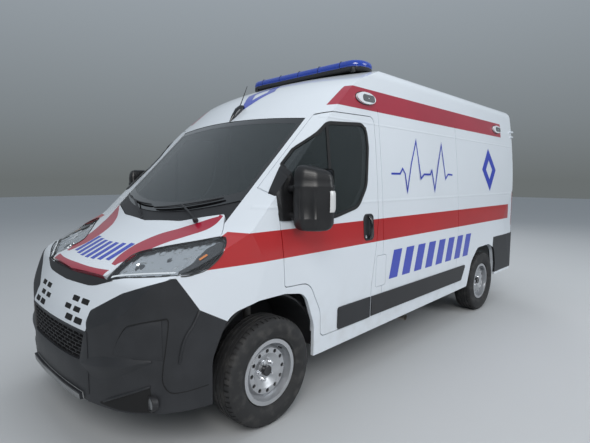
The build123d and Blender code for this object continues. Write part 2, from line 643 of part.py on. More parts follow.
# Carrier behind the nose skins, with the mesh of the lower intake
CARRIER_HALF = HALF - 330
CARRIER_TOP_Z = 985
CARRIER_BOTTOM_Z = 320
CARRIER_BACK_X = FRONT_X + 560
CARRIER_WINDOWS = ((HALF - 615, 735, 930), (HALF - 610, 412, 680))
GRILLE_DEPTH = DOOR_THICKNESS
GRILLE_COLUMNS = 9
GRILLE_ROWS = 4
GRILLE_BAR = 9
window_half, grille_bottom, grille_top = CARRIER_WINDOWS[1]
with BuildPart() as carrier_windows:
    for half, bottom, top in CARRIER_WINDOWS:
        add(block((CARRIER_BACK_X, -half, bottom), (NOSE_X, half, top)))
with BuildPart() as grille_bars:
    with BuildSketch(Plane.YZ.offset(CARRIER_BACK_X)):
        with Locations((0, (grille_bottom + grille_top) / 2)):
            with GridLocations(2 * window_half / GRILLE_COLUMNS, 0, GRILLE_COLUMNS - 1, 1):
                Rectangle(GRILLE_BAR, grille_top - grille_bottom)
            with GridLocations(0, (grille_top - grille_bottom) / (GRILLE_ROWS + 1), 1, GRILLE_ROWS):
                Rectangle(2 * window_half, GRILLE_BAR)
    extrude(amount=NOSE_X - CARRIER_BACK_X)
carrier_low = (CARRIER_BACK_X, -CARRIER_HALF, CARRIER_BOTTOM_Z)
with BuildPart() as front_carrier:
    add(within(block(carrier_low, (NOSE_X, CARRIER_HALF, CARRIER_TOP_Z)), PANEL + SEAT_GAP, WALL))
    add(carrier_windows.part, mode=Mode.SUBTRACT)
    add(within(grille_bars.part, PANEL + SEAT_GAP, GRILLE_DEPTH))
    add(lamp_room, mode=Mode.SUBTRACT)
save(front_carrier.part, "front_carrier")

# Cowl below the windscreen, windscreen and roof
SCREEN_GAP = 2
COWL_LOW = (1180, 1280)
cowl_high = [z + LIP for z in SCREEN_BOTTOM]
with BuildPart() as cowl:
    add(within(screen_band(*COWL_LOW, *cowl_high, GLASS_HALF), GLASS_SEAT, WALL))
    add(beyond(bonnet_room, PANEL + SEAT_GAP), mode=Mode.SUBTRACT)
    add(screen_lips.part, mode=Mode.SUBTRACT)
    add(lamp_room, mode=Mode.SUBTRACT)
save(cowl.part, "cowl")

glass_low = [z + SCREEN_GAP for z in SCREEN_BOTTOM]
glass_high = [z - SCREEN_GAP for z in SCREEN_TOP]
glass_band = screen_band(*glass_low, *glass_high, GLASS_HALF - SCREEN_GAP)
windscreen = within(glass_band, GLASS_DEPTH, GLASS_DEPTH + GLASS_THICKNESS)
save(windscreen, "windscreen")

with BuildPart() as roof_region:
    with BuildSketch(Plane.YZ.offset(BEHIND_TAIL_X)):
        with BuildLine():
            low_edge = SCREEN_TOP[1] - LIP
            ThreePointArc((-GLASS_HALF, low_edge), (0, SCREEN_TOP[0] - LIP), (GLASS_HALF, low_edge))
            Polyline([(GLASS_HALF, low_edge), (GLASS_HALF, BODY_TOP_Z), (-GLASS_HALF, BODY_TOP_Z), (-GLASS_HALF, low_edge)])
        make_face()
    extrude(amount=LENGTH)
with BuildPart() as roof:
    add(within(roof_region.part, 0, WALL))
    add(beyond(screen_room, GLASS_SEAT), mode=Mode.SUBTRACT)
    add(screen_lips.part, mode=Mode.SUBTRACT)
    add(tail_opening(-LIP), mode=Mode.SUBTRACT)
    add(beyond(tail_opening(DOOR_GAP), DOOR_THICKNESS + SEAT_GAP), mode=Mode.SUBTRACT)
save(roof.part, "roof")

# Floor with wheel boxes, rear sill, bulkhead, seat bases, firewall and plenum shelf
INNER = WALL + SEAT_GAP
FLOOR_BOTTOM_Z = FLOOR_Z - FLOOR_THICKNESS
CAB_FLOOR_HALF = 560
FOOTWELL_X = FRONT_X - 450
WHEEL_BOX_REACH = 430
WHEEL_BOX_INNER_Y = 740
WHEEL_BOX_TOP_Z = 800
BOX_WALL = 20
FIREWALL_X = FRONT_X + 40
FIREWALL_THICKNESS = 20
FIREWALL_LOW_TOP_Z = 900
SHELF_TOP_Z = 1180
TAIL_INNER_X = REAR_SKIN_X + DOOR_THICKNESS + SEAT_GAP
SILL_DEPTH = 40
SEAT_BASE_TOP_Z = 820
SEAT_INNER_Y = 220
SEAT_OUTER_Y = 680
SEAT_BASE_INSET = 20
SEAT_BASE_AHEAD = (-980, -560)
BULKHEAD_X = FRONT_X - 1200
BULKHEAD_THICKNESS = 30
HATCH_Z = 1620
HATCH_SIZE = (620, 340)
HATCH_CORNER = 40
WELL_BELOW = 50
box_low = (REAR_X - WHEEL_BOX_REACH, WHEEL_BOX_INNER_Y, FLOOR_BOTTOM_Z)
box_high = (REAR_X + WHEEL_BOX_REACH, FAR_Y, WHEEL_BOX_TOP_Z)
well_low = (box_low[0] + BOX_WALL, WHEEL_BOX_INNER_Y + BOX_WALL, FLOOR_BOTTOM_Z - WELL_BELOW)
well_high = (box_high[0] - BOX_WALL, FAR_Y, WHEEL_BOX_TOP_Z - BOX_WALL)
firewall_back = FIREWALL_X + FIREWALL_THICKNESS
box_clear_low = (box_low[0] - SEAT_GAP, box_low[1] - SEAT_GAP, box_low[2])
box_clear_high = (box_high[0] + SEAT_GAP, box_high[1], box_high[2])
with BuildPart() as floor:
    add(block((BEHIND_TAIL_X, -FAR_Y, FLOOR_BOTTOM_Z), (FOOTWELL_X, FAR_Y, FLOOR_Z)))
    add(both(block(box_clear_low, box_clear_high)), mode=Mode.SUBTRACT)
    add(block((FOOTWELL_X, -CAB_FLOOR_HALF, FLOOR_BOTTOM_Z), (FIREWALL_X - SEAT_GAP, CAB_FLOOR_HALF, FLOOR_Z)))
    add(both(block((FRONT_X + SEAT_BASE_AHEAD[0], SEAT_INNER_Y + SEAT_BASE_INSET, FLOOR_Z),
                   (FRONT_X + SEAT_BASE_AHEAD[1], SEAT_OUTER_Y - SEAT_BASE_INSET, SEAT_BASE_TOP_Z))))
    add(FORMS[INNER], mode=Mode.INTERSECT)
    add(block((TAIL_INNER_X, -GLASS_HALF + SEAT_GAP, FLOOR_BOTTOM_Z),
              (TAIL_INNER_X + SILL_DEPTH, GLASS_HALF - SEAT_GAP, REAR_DOOR_BOTTOM_Z + LIP)))
save(floor.part, "floor")

with BuildPart() as wheel_boxes:
    add(both(block(box_low, box_high)))
    add(both(block(well_low, well_high)), mode=Mode.SUBTRACT)
    add(FORMS[INNER], mode=Mode.INTERSECT)
save(wheel_boxes.part, "wheel_boxes")

with BuildPart() as bulkheads:
    add(block((FIREWALL_X, -CAB_FLOOR_HALF, FLOOR_BOTTOM_Z), (firewall_back, CAB_FLOOR_HALF, FIREWALL_LOW_TOP_Z)))
    add(block((FIREWALL_X, -FAR_Y, FIREWALL_LOW_TOP_Z), (firewall_back, FAR_Y, SHELF_TOP_Z)))
    add(block((FIREWALL_X, -FAR_Y, SHELF_TOP_Z - FIREWALL_THICKNESS), (NOSE_X, FAR_Y, SHELF_TOP_Z)))
    add(block((BULKHEAD_X, -FAR_Y, FLOOR_Z + SEAT_GAP), (BULKHEAD_X + BULKHEAD_THICKNESS, FAR_Y, BODY_TOP_Z)))
    add(FORMS[INNER], mode=Mode.INTERSECT)
    with BuildSketch(Plane.YZ.offset(BULKHEAD_X)):
        with Locations((0, HATCH_Z)):
            RectangleRounded(*HATCH_SIZE, HATCH_CORNER)
    extrude(amount=BULKHEAD_THICKNESS, mode=Mode.SUBTRACT)
save(bulkheads.part, "bulkheads")

# Front wheel arch liners with the tower that carries the top of the strut
LINER_RADIUS = 440
LINER_WALL = 12
LINER_Z = 385
LINER_INNER_Y = CAB_FLOOR_HALF + SEAT_GAP
KINGPIN_Y = FRONT_TRACK / 2 - KINGPIN_INSET
STRUT_TOP_Z = 800
TOWER_RADIUS = 45
with BuildPart() as arch_liner:
    with BuildSketch(Plane.XZ.offset(-LINER_INNER_Y)):
        with Locations((FRONT_X, LINER_Z)):
            Circle(LINER_RADIUS + LINER_WALL)
        with Locations((FRONT_X, LINER_Z + LINER_RADIUS)):
            Rectangle(3 * LINER_RADIUS, 2 * LINER_RADIUS, mode=Mode.INTERSECT)
    extrude(amount=LINER_INNER_Y - FAR_Y)
    with BuildSketch(Plane.XZ.offset(-LINER_INNER_Y - LINER_WALL)):
        with Locations((FRONT_X, LINER_Z)):
            Circle(LINER_RADIUS)
    extrude(amount=LINER_INNER_Y + LINER_WALL - FAR_Y, mode=Mode.SUBTRACT)
    with BuildSketch(Plane.XY.offset(STRUT_TOP_Z + SEAT_GAP)):
        with Locations((FRONT_X, KINGPIN_Y)):
            Circle(TOWER_RADIUS)
    extrude(amount=LINER_Z + LINER_RADIUS + LINER_WALL - STRUT_TOP_Z)
    add(FORMS[INNER], mode=Mode.INTERSECT)
save(both(arch_liner.part), "arch_liners")

# Cab: dashboard with the column, steering wheel and seats
DASH_OUTLINE = (
    (39.7, 950, 0), (39.7, 1180.3, 0), (260, 1180.3, 0), (210, 1245, 20), (60, 1285, 60), (-220, 1275, 40),
    (-330, 1215, 40), (-350, 1080, 30), (-250, 900, 30), (-150, 900, 20))
DRIVER_Y = 450
WHEEL_RING_RADIUS = 190
WHEEL_TUBE = 15
WHEEL_HUB_RADIUS = 62
WHEEL_HUB_DEPTH = 40
COLUMN_RADIUS = 25
COLUMN_LENGTH = 370
SPOKE_WIDTH = 36
SPOKE_THICKNESS = 14
SPOKE_DROP = 8
column_plane = Plane(
    origin=(FRONT_X - 500, DRIVER_Y, 1200), x_dir=(1, 0, 1), z_dir=(-1, 0, 1))
dash_points, dash_radii = split_table(DASH_OUTLINE, from_front)
with BuildPart() as dashboard:
    add(side_prism(dash_points, dash_radii, -FAR_Y, FAR_Y))
    add(FORMS[INNER], mode=Mode.INTERSECT)
    with BuildSketch(column_plane.offset(-WHEEL_HUB_DEPTH / 2 - SEAT_GAP)):
        Circle(COLUMN_RADIUS)
    extrude(amount=-COLUMN_LENGTH)
save(dashboard.part, "dashboard")

with BuildPart() as steering_wheel:
    with BuildSketch(Plane(origin=column_plane.origin, x_dir=column_plane.x_dir, z_dir=(0, -1, 0))):
        with Locations((WHEEL_RING_RADIUS - WHEEL_TUBE, 0)):
            Circle(WHEEL_TUBE)
    revolve(axis=Axis(column_plane.origin, column_plane.z_dir))
    with BuildSketch(column_plane.offset(-WHEEL_HUB_DEPTH / 2)):
        Circle(WHEEL_HUB_RADIUS)
    extrude(amount=WHEEL_HUB_DEPTH)
    with BuildSketch(column_plane.offset(-SPOKE_DROP)):
        for angle in (90, -90, 180):
            with Locations(Rot(0, 0, angle) * Location((WHEEL_RING_RADIUS / 2, 0, 0))):
                Rectangle(WHEEL_RING_RADIUS - 2 * WHEEL_TUBE, SPOKE_WIDTH)
    extrude(amount=SPOKE_THICKNESS)
save(steering_wheel.part, "steering_wheel")

SEAT_OUTLINE = (
    (-1030, 820.3, 20), (-500, 820.3, 20), (-478, 890, 25), (-515, 948, 25), (-950, 922, 40), (-1035, 1520, 30),
    (-1135, 1530, 30), (-1110, 900, 40))
HEADREST = ((-1128, 330, 1500), (-1055, 570, 1700))
seat_points, seat_radii = split_table(SEAT_OUTLINE, from_front)
with BuildPart() as seat:
    add(side_prism(seat_points, seat_radii, SEAT_INNER_Y, SEAT_OUTER_Y))
    add(block((FRONT_X + HEADREST[0][0], *HEADREST[0][1:]), (FRONT_X + HEADREST[1][0], *HEADREST[1][1:])))
save(seat.part, "driver_seat")
save(flipped(seat.part), "passenger_seat")

# Chassis frame, engine, fuel tank and exhaust
RAIL_TOP_Z = FLOOR_BOTTOM_Z - SEAT_GAP
RAIL_INNER_Y = RAIL_HALF_GAUGE - RAIL_WIDTH / 2
RAIL_OUTER_Y = RAIL_HALF_GAUGE + RAIL_WIDTH / 2
CROSS_BOTTOM_Z = 400
CROSS_TOP_Z = 460
CROSS_X = (400, -1000, -1650, -2500, -3450)
CROSS_HALF_WIDTH = 40
OUTRIGGER_X = (-700, -1650, -2500)
OUTRIGGER_TOP_Z = 435
CRASH_BEAM = ((740, 430), (900, 560))
CRASH_BEAM_HALF = 600
TAIL_BEAM_DEPTH = 150
TAIL_BEAM_HALF = 700
TOW_HOLE_RADIUS = 6.5
TOW_SPACING = (80, 150)
SPRING_REACH = 600
SPRING_Y = (515, 575)
HANGER_LENGTH = 40
OUTRIGGER_HALF = 30
OUTRIGGER_BOTTOM_Z = 395
HANGER_Z = (360, 440)
TOW_SETBACK = 70
TOW_HOLE_DEPTH = 60


def inside(piece, inset):
    """The part of a piece that lies inside the form at an inset."""
    with BuildPart() as kept:
        add(piece)
        add(FORMS[inset], mode=Mode.INTERSECT)
    return kept.part


with BuildPart() as cross_pieces:
    for middle in OUTRIGGER_X:
        add(both(block((FRONT_X + middle - OUTRIGGER_HALF, RAIL_OUTER_Y + SEAT_GAP, OUTRIGGER_BOTTOM_Z),
                       (FRONT_X + middle + OUTRIGGER_HALF, FAR_Y, OUTRIGGER_TOP_Z))))
    add(block((FRONT_X + CRASH_BEAM[0][0], -CRASH_BEAM_HALF, CRASH_BEAM[0][1]),
              (FRONT_X + CRASH_BEAM[1][0], CRASH_BEAM_HALF, CRASH_BEAM[1][1])))
tail_beam = block((BEHIND_TAIL_X, -TAIL_BEAM_HALF, CROSS_BOTTOM_Z),
                  (REAR_SKIN_X + TAIL_BEAM_DEPTH, TAIL_BEAM_HALF, RAIL_TOP_Z))
with BuildPart() as chassis:
    add(inside(cross_pieces.part, INNER))
    add(inside(tail_beam, PANEL + SEAT_GAP))
    add(both(block((REAR_SKIN_X + TAIL_BEAM_DEPTH + SEAT_GAP, RAIL_INNER_Y, RAIL_BOTTOM_Z),
                   (FRONT_X + CRASH_BEAM[0][0] - SEAT_GAP, RAIL_OUTER_Y, RAIL_TOP_Z))))
    for start in (-SPRING_REACH - HANGER_LENGTH, SPRING_REACH):
        add(both(block((REAR_X + start, RAIL_OUTER_Y + SEAT_GAP, HANGER_Z[0]),
                       (REAR_X + start + HANGER_LENGTH, SPRING_Y[1], HANGER_Z[1]))))
    for middle in CROSS_X:
        add(block((FRONT_X + middle - CROSS_HALF_WIDTH, SEAT_GAP - RAIL_INNER_Y, CROSS_BOTTOM_Z),
                  (FRONT_X + middle + CROSS_HALF_WIDTH, RAIL_INNER_Y - SEAT_GAP, CROSS_TOP_Z)))
    with BuildSketch(Plane.XY.offset(CROSS_BOTTOM_Z)):
        with Locations((REAR_SKIN_X + TAIL_BEAM_DEPTH - TOW_SETBACK, 0)):
            with GridLocations(*TOW_SPACING, 2, 2):
                Circle(TOW_HOLE_RADIUS)
    extrude(amount=TOW_HOLE_DEPTH, mode=Mode.SUBTRACT)
save(chassis.part, "chassis")

ENGINE = ((130, -300, 460.3), (700, 300, 930))
engine = block((FRONT_X + ENGINE[0][0], *ENGINE[0][1:]), (FRONT_X + ENGINE[1][0], *ENGINE[1][1:]))
save(engine, "engine")

TANK = ((-1560, 520, 330), (-850, 900, RAIL_TOP_Z))
TANK_ROUND = 40
tank = block((FRONT_X + TANK[0][0], *TANK[0][1:]), (FRONT_X + TANK[1][0], *TANK[1][1:]))
with BuildPart() as fuel_tank:
    add(tank)
    fillet(fuel_tank.edges().filter_by(Axis.X).group_by(Axis.Z)[0], TANK_ROUND)
save(fuel_tank.part, "fuel_tank")

PIPE_RADIUS = 27
PIPE_BORE = 24
PIPE_Z = 300
PIPE_Y = 250
PIPE_START_X = FRONT_X - 250
TIP_X = FRONT_X - 1690
TIP_Y = 975
MUFFLER = (-1250, -700)
MUFFLER_RADIUS = 78
PIPE_BEND = 120
TIP_BORE_DEPTH = 150
PIPE_HANGER_HALF = (10, 15)
MIDDLE_HANGER_X = FRONT_X + CROSS_X[1]
hanger_half_x, hanger_half_y = PIPE_HANGER_HALF
with BuildPart() as exhaust:
    with BuildLine() as exhaust_run:
        FilletPolyline([(PIPE_START_X, PIPE_Y, PIPE_Z), (TIP_X, PIPE_Y, PIPE_Z), (TIP_X, TIP_Y, PIPE_Z)], radius=PIPE_BEND)
    with BuildSketch(Plane(origin=(PIPE_START_X, PIPE_Y, PIPE_Z), z_dir=(-1, 0, 0))):
        Circle(PIPE_RADIUS)
    sweep(path=exhaust_run.line)
    with BuildSketch(Plane.YZ.offset(FRONT_X + MUFFLER[0])):
        with Locations((PIPE_Y, PIPE_Z)):
            Circle(MUFFLER_RADIUS)
    extrude(amount=MUFFLER[1] - MUFFLER[0])
    with BuildSketch(Plane.XZ.offset(-TIP_Y)):
        with Locations((TIP_X, PIPE_Z)):
            Circle(PIPE_BORE)
    extrude(amount=TIP_BORE_DEPTH, mode=Mode.SUBTRACT)
    add(block((TIP_X - hanger_half_x, RAIL_HALF_GAUGE - hanger_half_y, PIPE_Z),
              (TIP_X + hanger_half_x, RAIL_HALF_GAUGE + hanger_half_y, RAIL_BOTTOM_Z - SEAT_GAP)))
    add(block((MIDDLE_HANGER_X - hanger_half_x, PIPE_Y - hanger_half_y, PIPE_Z),
              (MIDDLE_HANGER_X + hanger_half_x, PIPE_Y + hanger_half_y, CROSS_BOTTOM_Z - SEAT_GAP)))
save(exhaust.part, "exhaust")

# Rear axle with its leaf springs, and the front suspension with the steered knuckles
AXLE_RADIUS = 35
LEAF_HEIGHT = (378, 400)
SPINDLE_PAST_CENTRE = 20
REAR_SPINDLE_END = REAR_TRACK / 2 + SPINDLE_PAST_CENTRE
AXLE_TUBE_END = REAR_TRACK / 2 - 95
with BuildPart() as rear_axle:
    for reach, radius in ((AXLE_TUBE_END, AXLE_RADIUS), (REAR_SPINDLE_END, SPINDLE_RADIUS)):
        with BuildSketch(Plane.XZ.offset(-reach)):
            with Locations((REAR_X, TYRE_RADIUS)):
                Circle(radius)
        extrude(amount=2 * reach)
    add(both(block((REAR_X - SPRING_REACH + SEAT_GAP, SPRING_Y[0], LEAF_HEIGHT[0]),
                   (REAR_X + SPRING_REACH - SEAT_GAP, SPRING_Y[1], LEAF_HEIGHT[1]))))
save(rear_axle.part, "rear_axle")

SUBFRAME_REACH = 120
SUBFRAME_HALF = 520
SUBFRAME_Z = (205, 300)
ARM_Z = (225, 255)
ARM_REACH = KINGPIN_Y + 30
ARM_HALF_WIDTH = 40
SUBFRAME_POST = 60
with BuildPart() as front_suspension:
    add(block((FRONT_X - SUBFRAME_REACH, -SUBFRAME_HALF, SUBFRAME_Z[0]),
              (FRONT_X + SUBFRAME_REACH, SUBFRAME_HALF, SUBFRAME_Z[1])))
    add(both(block((FRONT_X - SUBFRAME_POST, RAIL_INNER_Y, SUBFRAME_Z[1]),
                   (FRONT_X + SUBFRAME_POST, RAIL_OUTER_Y, RAIL_BOTTOM_Z - SEAT_GAP))))
    add(block((FRONT_X - ARM_HALF_WIDTH, -ARM_REACH, ARM_Z[0]), (FRONT_X + ARM_HALF_WIDTH, ARM_REACH, ARM_Z[1])))
save(front_suspension.part, "front_suspension")

STRUT_RADIUS = 26
KNUCKLE_TOP_Z = 430
KNUCKLE_BLOCK = ((-55, -25), (55, 40))
FRONT_SPINDLE_END = FRONT_TRACK / 2 + SPINDLE_PAST_CENTRE
with BuildPart() as knuckle:
    add(block((FRONT_X + KNUCKLE_BLOCK[0][0], KINGPIN_Y + KNUCKLE_BLOCK[0][1], ARM_Z[1] + SEAT_GAP),
              (FRONT_X + KNUCKLE_BLOCK[1][0], KINGPIN_Y + KNUCKLE_BLOCK[1][1], KNUCKLE_TOP_Z)))
    with BuildSketch(Plane.XY.offset(KNUCKLE_TOP_Z)):
        with Locations((FRONT_X, KINGPIN_Y)):
            Circle(STRUT_RADIUS)
    extrude(amount=STRUT_TOP_Z - KNUCKLE_TOP_Z)
    with BuildSketch(Plane.XZ.offset(-KINGPIN_Y)):
        with Locations((FRONT_X, TYRE_RADIUS)):
            Circle(SPINDLE_RADIUS)
    extrude(amount=KINGPIN_Y - FRONT_SPINDLE_END)
save(knuckle.part, "knuckle_left")
save(flipped(knuckle.part), "knuckle_right")

# Wheels: distance from the wheel's middle plane outwards, and radius
HUB_BORE = SPINDLE_RADIUS + BEARING_CLEARANCE
RIM_HALF = RIM_WIDTH / 2
BARREL_RADIUS = 190
BARREL_WALL = 7
RIM_PROFILE = (
    (-75, HUB_BORE), (-75, 68), (-62, 68), (-62, 150), (-38, 150), (-38, 68), (22, 68), (46, 118), (46, 140),
    (20, 160), (14, 183), (-RIM_HALF, 183), (-RIM_HALF, RIM_FLANGE_RADIUS), (-RIM_HALF + 8, RIM_FLANGE_RADIUS),
    (-RIM_HALF + 8, BARREL_RADIUS), (RIM_HALF - 8, BARREL_RADIUS), (RIM_HALF - 8, RIM_FLANGE_RADIUS),
    (RIM_HALF, RIM_FLANGE_RADIUS), (RIM_HALF, 183), (22, 183), (28, 165), (54, 145), (54, 112), (30, 62),
    (30, HUB_BORE))
VENT_COUNT = 12
VENT_RADIUS = 13
VENT_CIRCLE = 129
TYRE_BORE = BARREL_RADIUS + SEAT_GAP
BEAD_HALF = RIM_HALF - 8 - SEAT_GAP
TYRE_PROFILE = (
    (-BEAD_HALF, TYRE_BORE, 0), (-BEAD_HALF, 212, 10), (-TYRE_WIDTH / 2, 265, 60), (-TYRE_WIDTH / 2 + 8, 322, 40),
    (-TYRE_WIDTH / 2 + 26, 343, 12), (0, TYRE_RADIUS, 0), (TYRE_WIDTH / 2 - 26, 343, 12),
    (TYRE_WIDTH / 2 - 8, 322, 40), (TYRE_WIDTH / 2, 265, 60), (BEAD_HALF, 212, 10), (BEAD_HALF, TYRE_BORE, 0))


def wheel_at(axle_x, track):
    """The rim and the tyre of a left-hand wheel."""
    middle_y = track / 2
    axle = Axis((axle_x, 0, TYRE_RADIUS), (0, 1, 0))
    section = Plane(origin=(axle_x, middle_y, TYRE_RADIUS), x_dir=(0, 1, 0), z_dir=(1, 0, 0))
    with BuildPart() as rim:
        with BuildSketch(section):
            with BuildLine():
                Polyline(RIM_PROFILE, close=True)
            make_face()
        revolve(axis=axle)
        with BuildSketch(Plane.XZ.offset(-middle_y - RIM_HALF)):
            with Locations((axle_x, TYRE_RADIUS)):
                with PolarLocations(VENT_CIRCLE, VENT_COUNT):
                    Circle(VENT_RADIUS)
        extrude(amount=RIM_HALF, mode=Mode.SUBTRACT)
    with BuildPart() as tyre:
        with BuildSketch(section):
            with BuildLine():
                corners = [(across, radius) for across, radius, _ in TYRE_PROFILE]
                rounds = [rounding for _, _, rounding in TYRE_PROFILE]
                FilletPolyline(corners, radius=rounds, close=True)
            make_face()
        revolve(axis=axle)
    return rim.part, tyre.part


for name, axle_x, track in (("front", FRONT_X, FRONT_TRACK), ("rear", REAR_X, REAR_TRACK)):
    rim, tyre = wheel_at(axle_x, track)
    save(rim, f"rim_{name}_left")
    save(tyre, f"tyre_{name}_left")
    save(flipped(rim), f"rim_{name}_right")
    save(flipped(tyre), f"tyre_{name}_right")

# Tail doors with their windows
TAIL_WINDOW = ((150, 1350), (HALF - 245, 1350), (HALF - 270, 1850), (150, 1850))
TAIL_WINDOW_RADII = (50, 60, 90, 50)
TAIL_DOOR_SPLIT = 3


def tail_window(grow):
    """The window outline of the left tail door, carried through it."""
    return plane_prism(Plane.YZ.offset(REAR_SKIN_X), TAIL_WINDOW, TAIL_WINDOW_RADII, *TAIL_REACH, grow=grow)


with BuildPart() as tail_leaf:
    add(within(tail_opening(0), 0, DOOR_THICKNESS))
    add(block((BEHIND_TAIL_X, TAIL_DOOR_SPLIT, 0), (REAR_X, FAR_Y, BODY_TOP_Z)), mode=Mode.INTERSECT)
    add(tail_window(-PANE_LIP), mode=Mode.SUBTRACT)
    add(beyond(tail_window(PANE_GAP), GLASS_SEAT), mode=Mode.SUBTRACT)
tail_pane = within(tail_window(0), GLASS_DEPTH, GLASS_DEPTH + GLASS_THICKNESS)

# Tail door hinges: sleeves with straps on the doors, pins with end knuckles on the corner posts
HINGE_X = REAR_SKIN_X - 25
HINGE_Y = REAR_DOOR_HALF
HINGE_Z = (908, 1480, 2150)
PIN_RADIUS = 5
BARREL_RADIUS_OUT = 10
SLEEVE_HALF = 20
HINGE_HALF = 42
END_GAP = 1
STRAP_INNER_Y = 796
STRAP_FOOT_Y = 846
STRAP_OFF = 6
STRAP_BACK = 16
LINK_REACH = 20
LINK_BACK = 30
POST_PLATE_Y = 955


def hinge_round(radius, low_z, high_z):
    """A round piece on the left tail hinge's axis."""
    with BuildPart() as barrel:
        with BuildSketch(Plane.XY.offset(low_z)):
            with Locations((HINGE_X, HINGE_Y)):
                Circle(radius)
        extrude(amount=high_z - low_z)
    return barrel.part


def hinge_block(back, front, low_y, high_y, low_z, high_z):
    """A box beside the left tail hinge, its X measured from the tail skin."""
    return block((REAR_SKIN_X - back, low_y, low_z), (REAR_SKIN_X + front, high_y, high_z))


with BuildPart() as tail_door:
    add(tail_leaf.part)
    for z in HINGE_Z:
        low_z = z - SLEEVE_HALF
        high_z = z + SLEEVE_HALF
        add(hinge_round(BARREL_RADIUS_OUT, low_z, high_z))
        add(hinge_block(LINK_BACK, -STRAP_OFF, HINGE_Y - LINK_REACH, HINGE_Y - STRAP_OFF, low_z, high_z))
        add(hinge_block(STRAP_BACK, -STRAP_OFF, STRAP_INNER_Y, HINGE_Y - STRAP_OFF, low_z, high_z))
        add(hinge_block(STRAP_BACK, PANEL, STRAP_INNER_Y, STRAP_FOOT_Y, low_z, high_z))
        add(hinge_round(PIN_RADIUS + BEARING_CLEARANCE, low_z, high_z), mode=Mode.SUBTRACT)
with BuildPart() as post_hinges:
    for z in HINGE_Z:
        for low_z, high_z in ((z - HINGE_HALF, z - SLEEVE_HALF - END_GAP), (z + SLEEVE_HALF + END_GAP, z + HINGE_HALF)):
            add(hinge_round(BARREL_RADIUS_OUT, low_z, high_z))
            add(hinge_block(LINK_BACK, WALL, HINGE_Y + STRAP_OFF, HINGE_Y + LINK_REACH, low_z, high_z))
            add(hinge_block(STRAP_BACK, WALL, HINGE_Y + STRAP_OFF, POST_PLATE_Y, low_z, high_z))
    add(FORMS[0], mode=Mode.SUBTRACT)
    for z in HINGE_Z:
        add(hinge_round(PIN_RADIUS, z - HINGE_HALF, z + HINGE_HALF))
save(tail_door.part, "rear_door_left")
save(flipped(tail_door.part), "rear_door_right")
save(both(post_hinges.part), "tail_hinges")
save(tail_pane, "rear_glass_left")
save(flipped(tail_pane), "rear_glass_right")

# Mirrors: a foot on the door, two arms and the two-part head
MIRROR_FOOT = ((-52, 1340, 20), (-66, 1500, 20), (-205, 1560, 30), (-215, 1345, 30))
MIRROR_HEAD = ((-300, 1050, 1230), (-100, 1254, 1650))
MIRROR_ARMS = ((1300, 1350), (1470, 1520))
ARM_AHEAD = (-185, -130)
ARM_END_Y = 1100
HEAD_MIDDLE_X = FRONT_X - 200
HEAD_LENGTH = 200
HEAD_CORNER = 60
HEAD_ROUND = 40
FOOT_HEIGHT = 12
foot_points, foot_radii = split_table(MIRROR_FOOT, from_front)
foot_form = FORMS[0].moved(Location((0, FOOT_HEIGHT, 0)))
with BuildPart() as mirror_left:
    add(foot_form)
    add(side_opening(foot_points, foot_radii), mode=Mode.INTERSECT)
    add(FORMS[0], mode=Mode.SUBTRACT)
    with BuildSketch(Plane.XY.offset(MIRROR_HEAD[0][2])):
        with Locations((HEAD_MIDDLE_X, (MIRROR_HEAD[0][1] + MIRROR_HEAD[1][1]) / 2)):
            RectangleRounded(HEAD_LENGTH, MIRROR_HEAD[1][1] - MIRROR_HEAD[0][1], HEAD_CORNER)
    extrude(amount=MIRROR_HEAD[1][2] - MIRROR_HEAD[0][2])
    fillet(mirror_left.edges().group_by(Axis.Z)[-1] + mirror_left.edges().group_by(Axis.Z)[0], HEAD_ROUND)
    for low_z, high_z in MIRROR_ARMS:
        add(beyond(block((FRONT_X + ARM_AHEAD[0], GLASS_HALF, low_z), (FRONT_X + ARM_AHEAD[1], ARM_END_Y, high_z)), 0))
save(mirror_left.part, "mirror_left")
save(flipped(mirror_left.part), "mirror_right")

# Light bar on the roof and the lamps high on the sides
BAR_AHEAD = (-1580, -1280)
BAR_HALF = 700
BAR_BASE_TOP_Z = 2502
BAR_TOP_Z = 2575
BAR_START_Z = 2350
BAR_CORNER = 60
BAR_ROUND = 30
bar_base = block((FRONT_X + BAR_AHEAD[0], -BAR_HALF, BAR_START_Z), (FRONT_X + BAR_AHEAD[1], BAR_HALF, BAR_BASE_TOP_Z))
save(beyond(bar_base, 0), "light_bar_base")
with BuildPart() as light_bar:
    with BuildSketch(Plane.XY.offset(BAR_BASE_TOP_Z)):
        with Locations((FRONT_X + sum(BAR_AHEAD) / 2, 0)):
            RectangleRounded(BAR_AHEAD[1] - BAR_AHEAD[0], 2 * BAR_HALF, BAR_CORNER)
    extrude(amount=BAR_TOP_Z - BAR_BASE_TOP_Z)
    fillet(light_bar.edges().group_by(Axis.Z)[-1], BAR_ROUND)
save(beyond(light_bar.part, 0), "light_bar")

SIDE_LAMP_AHEAD = (-1050, -3860)
SIDE_LAMP_Z = 2172
SIDE_LAMP_RADII = (120, 45)
SIDE_LAMP_HEIGHT = 22
with BuildPart() as side_lamp_room:
    with BuildSketch(Plane.XZ.offset(-NEAR_Y)):
        for ahead in SIDE_LAMP_AHEAD:
            with Locations((FRONT_X + ahead, SIDE_LAMP_Z)):
                Ellipse(*SIDE_LAMP_RADII)
    extrude(amount=NEAR_Y - FAR_Y)
with BuildPart() as side_lamps:
    add(FORMS[0].moved(Location((0, SIDE_LAMP_HEIGHT, 0))))
    add(side_lamp_room.part, mode=Mode.INTERSECT)
    add(FORMS[0], mode=Mode.SUBTRACT)
save(both(side_lamps.part), "side_lamps")
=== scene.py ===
import bpy
import bmesh
import logging
import math
from dataclasses import dataclass, field
from enum import Enum
from functools import lru_cache
from typing import Callable, Iterable, Self, Sequence

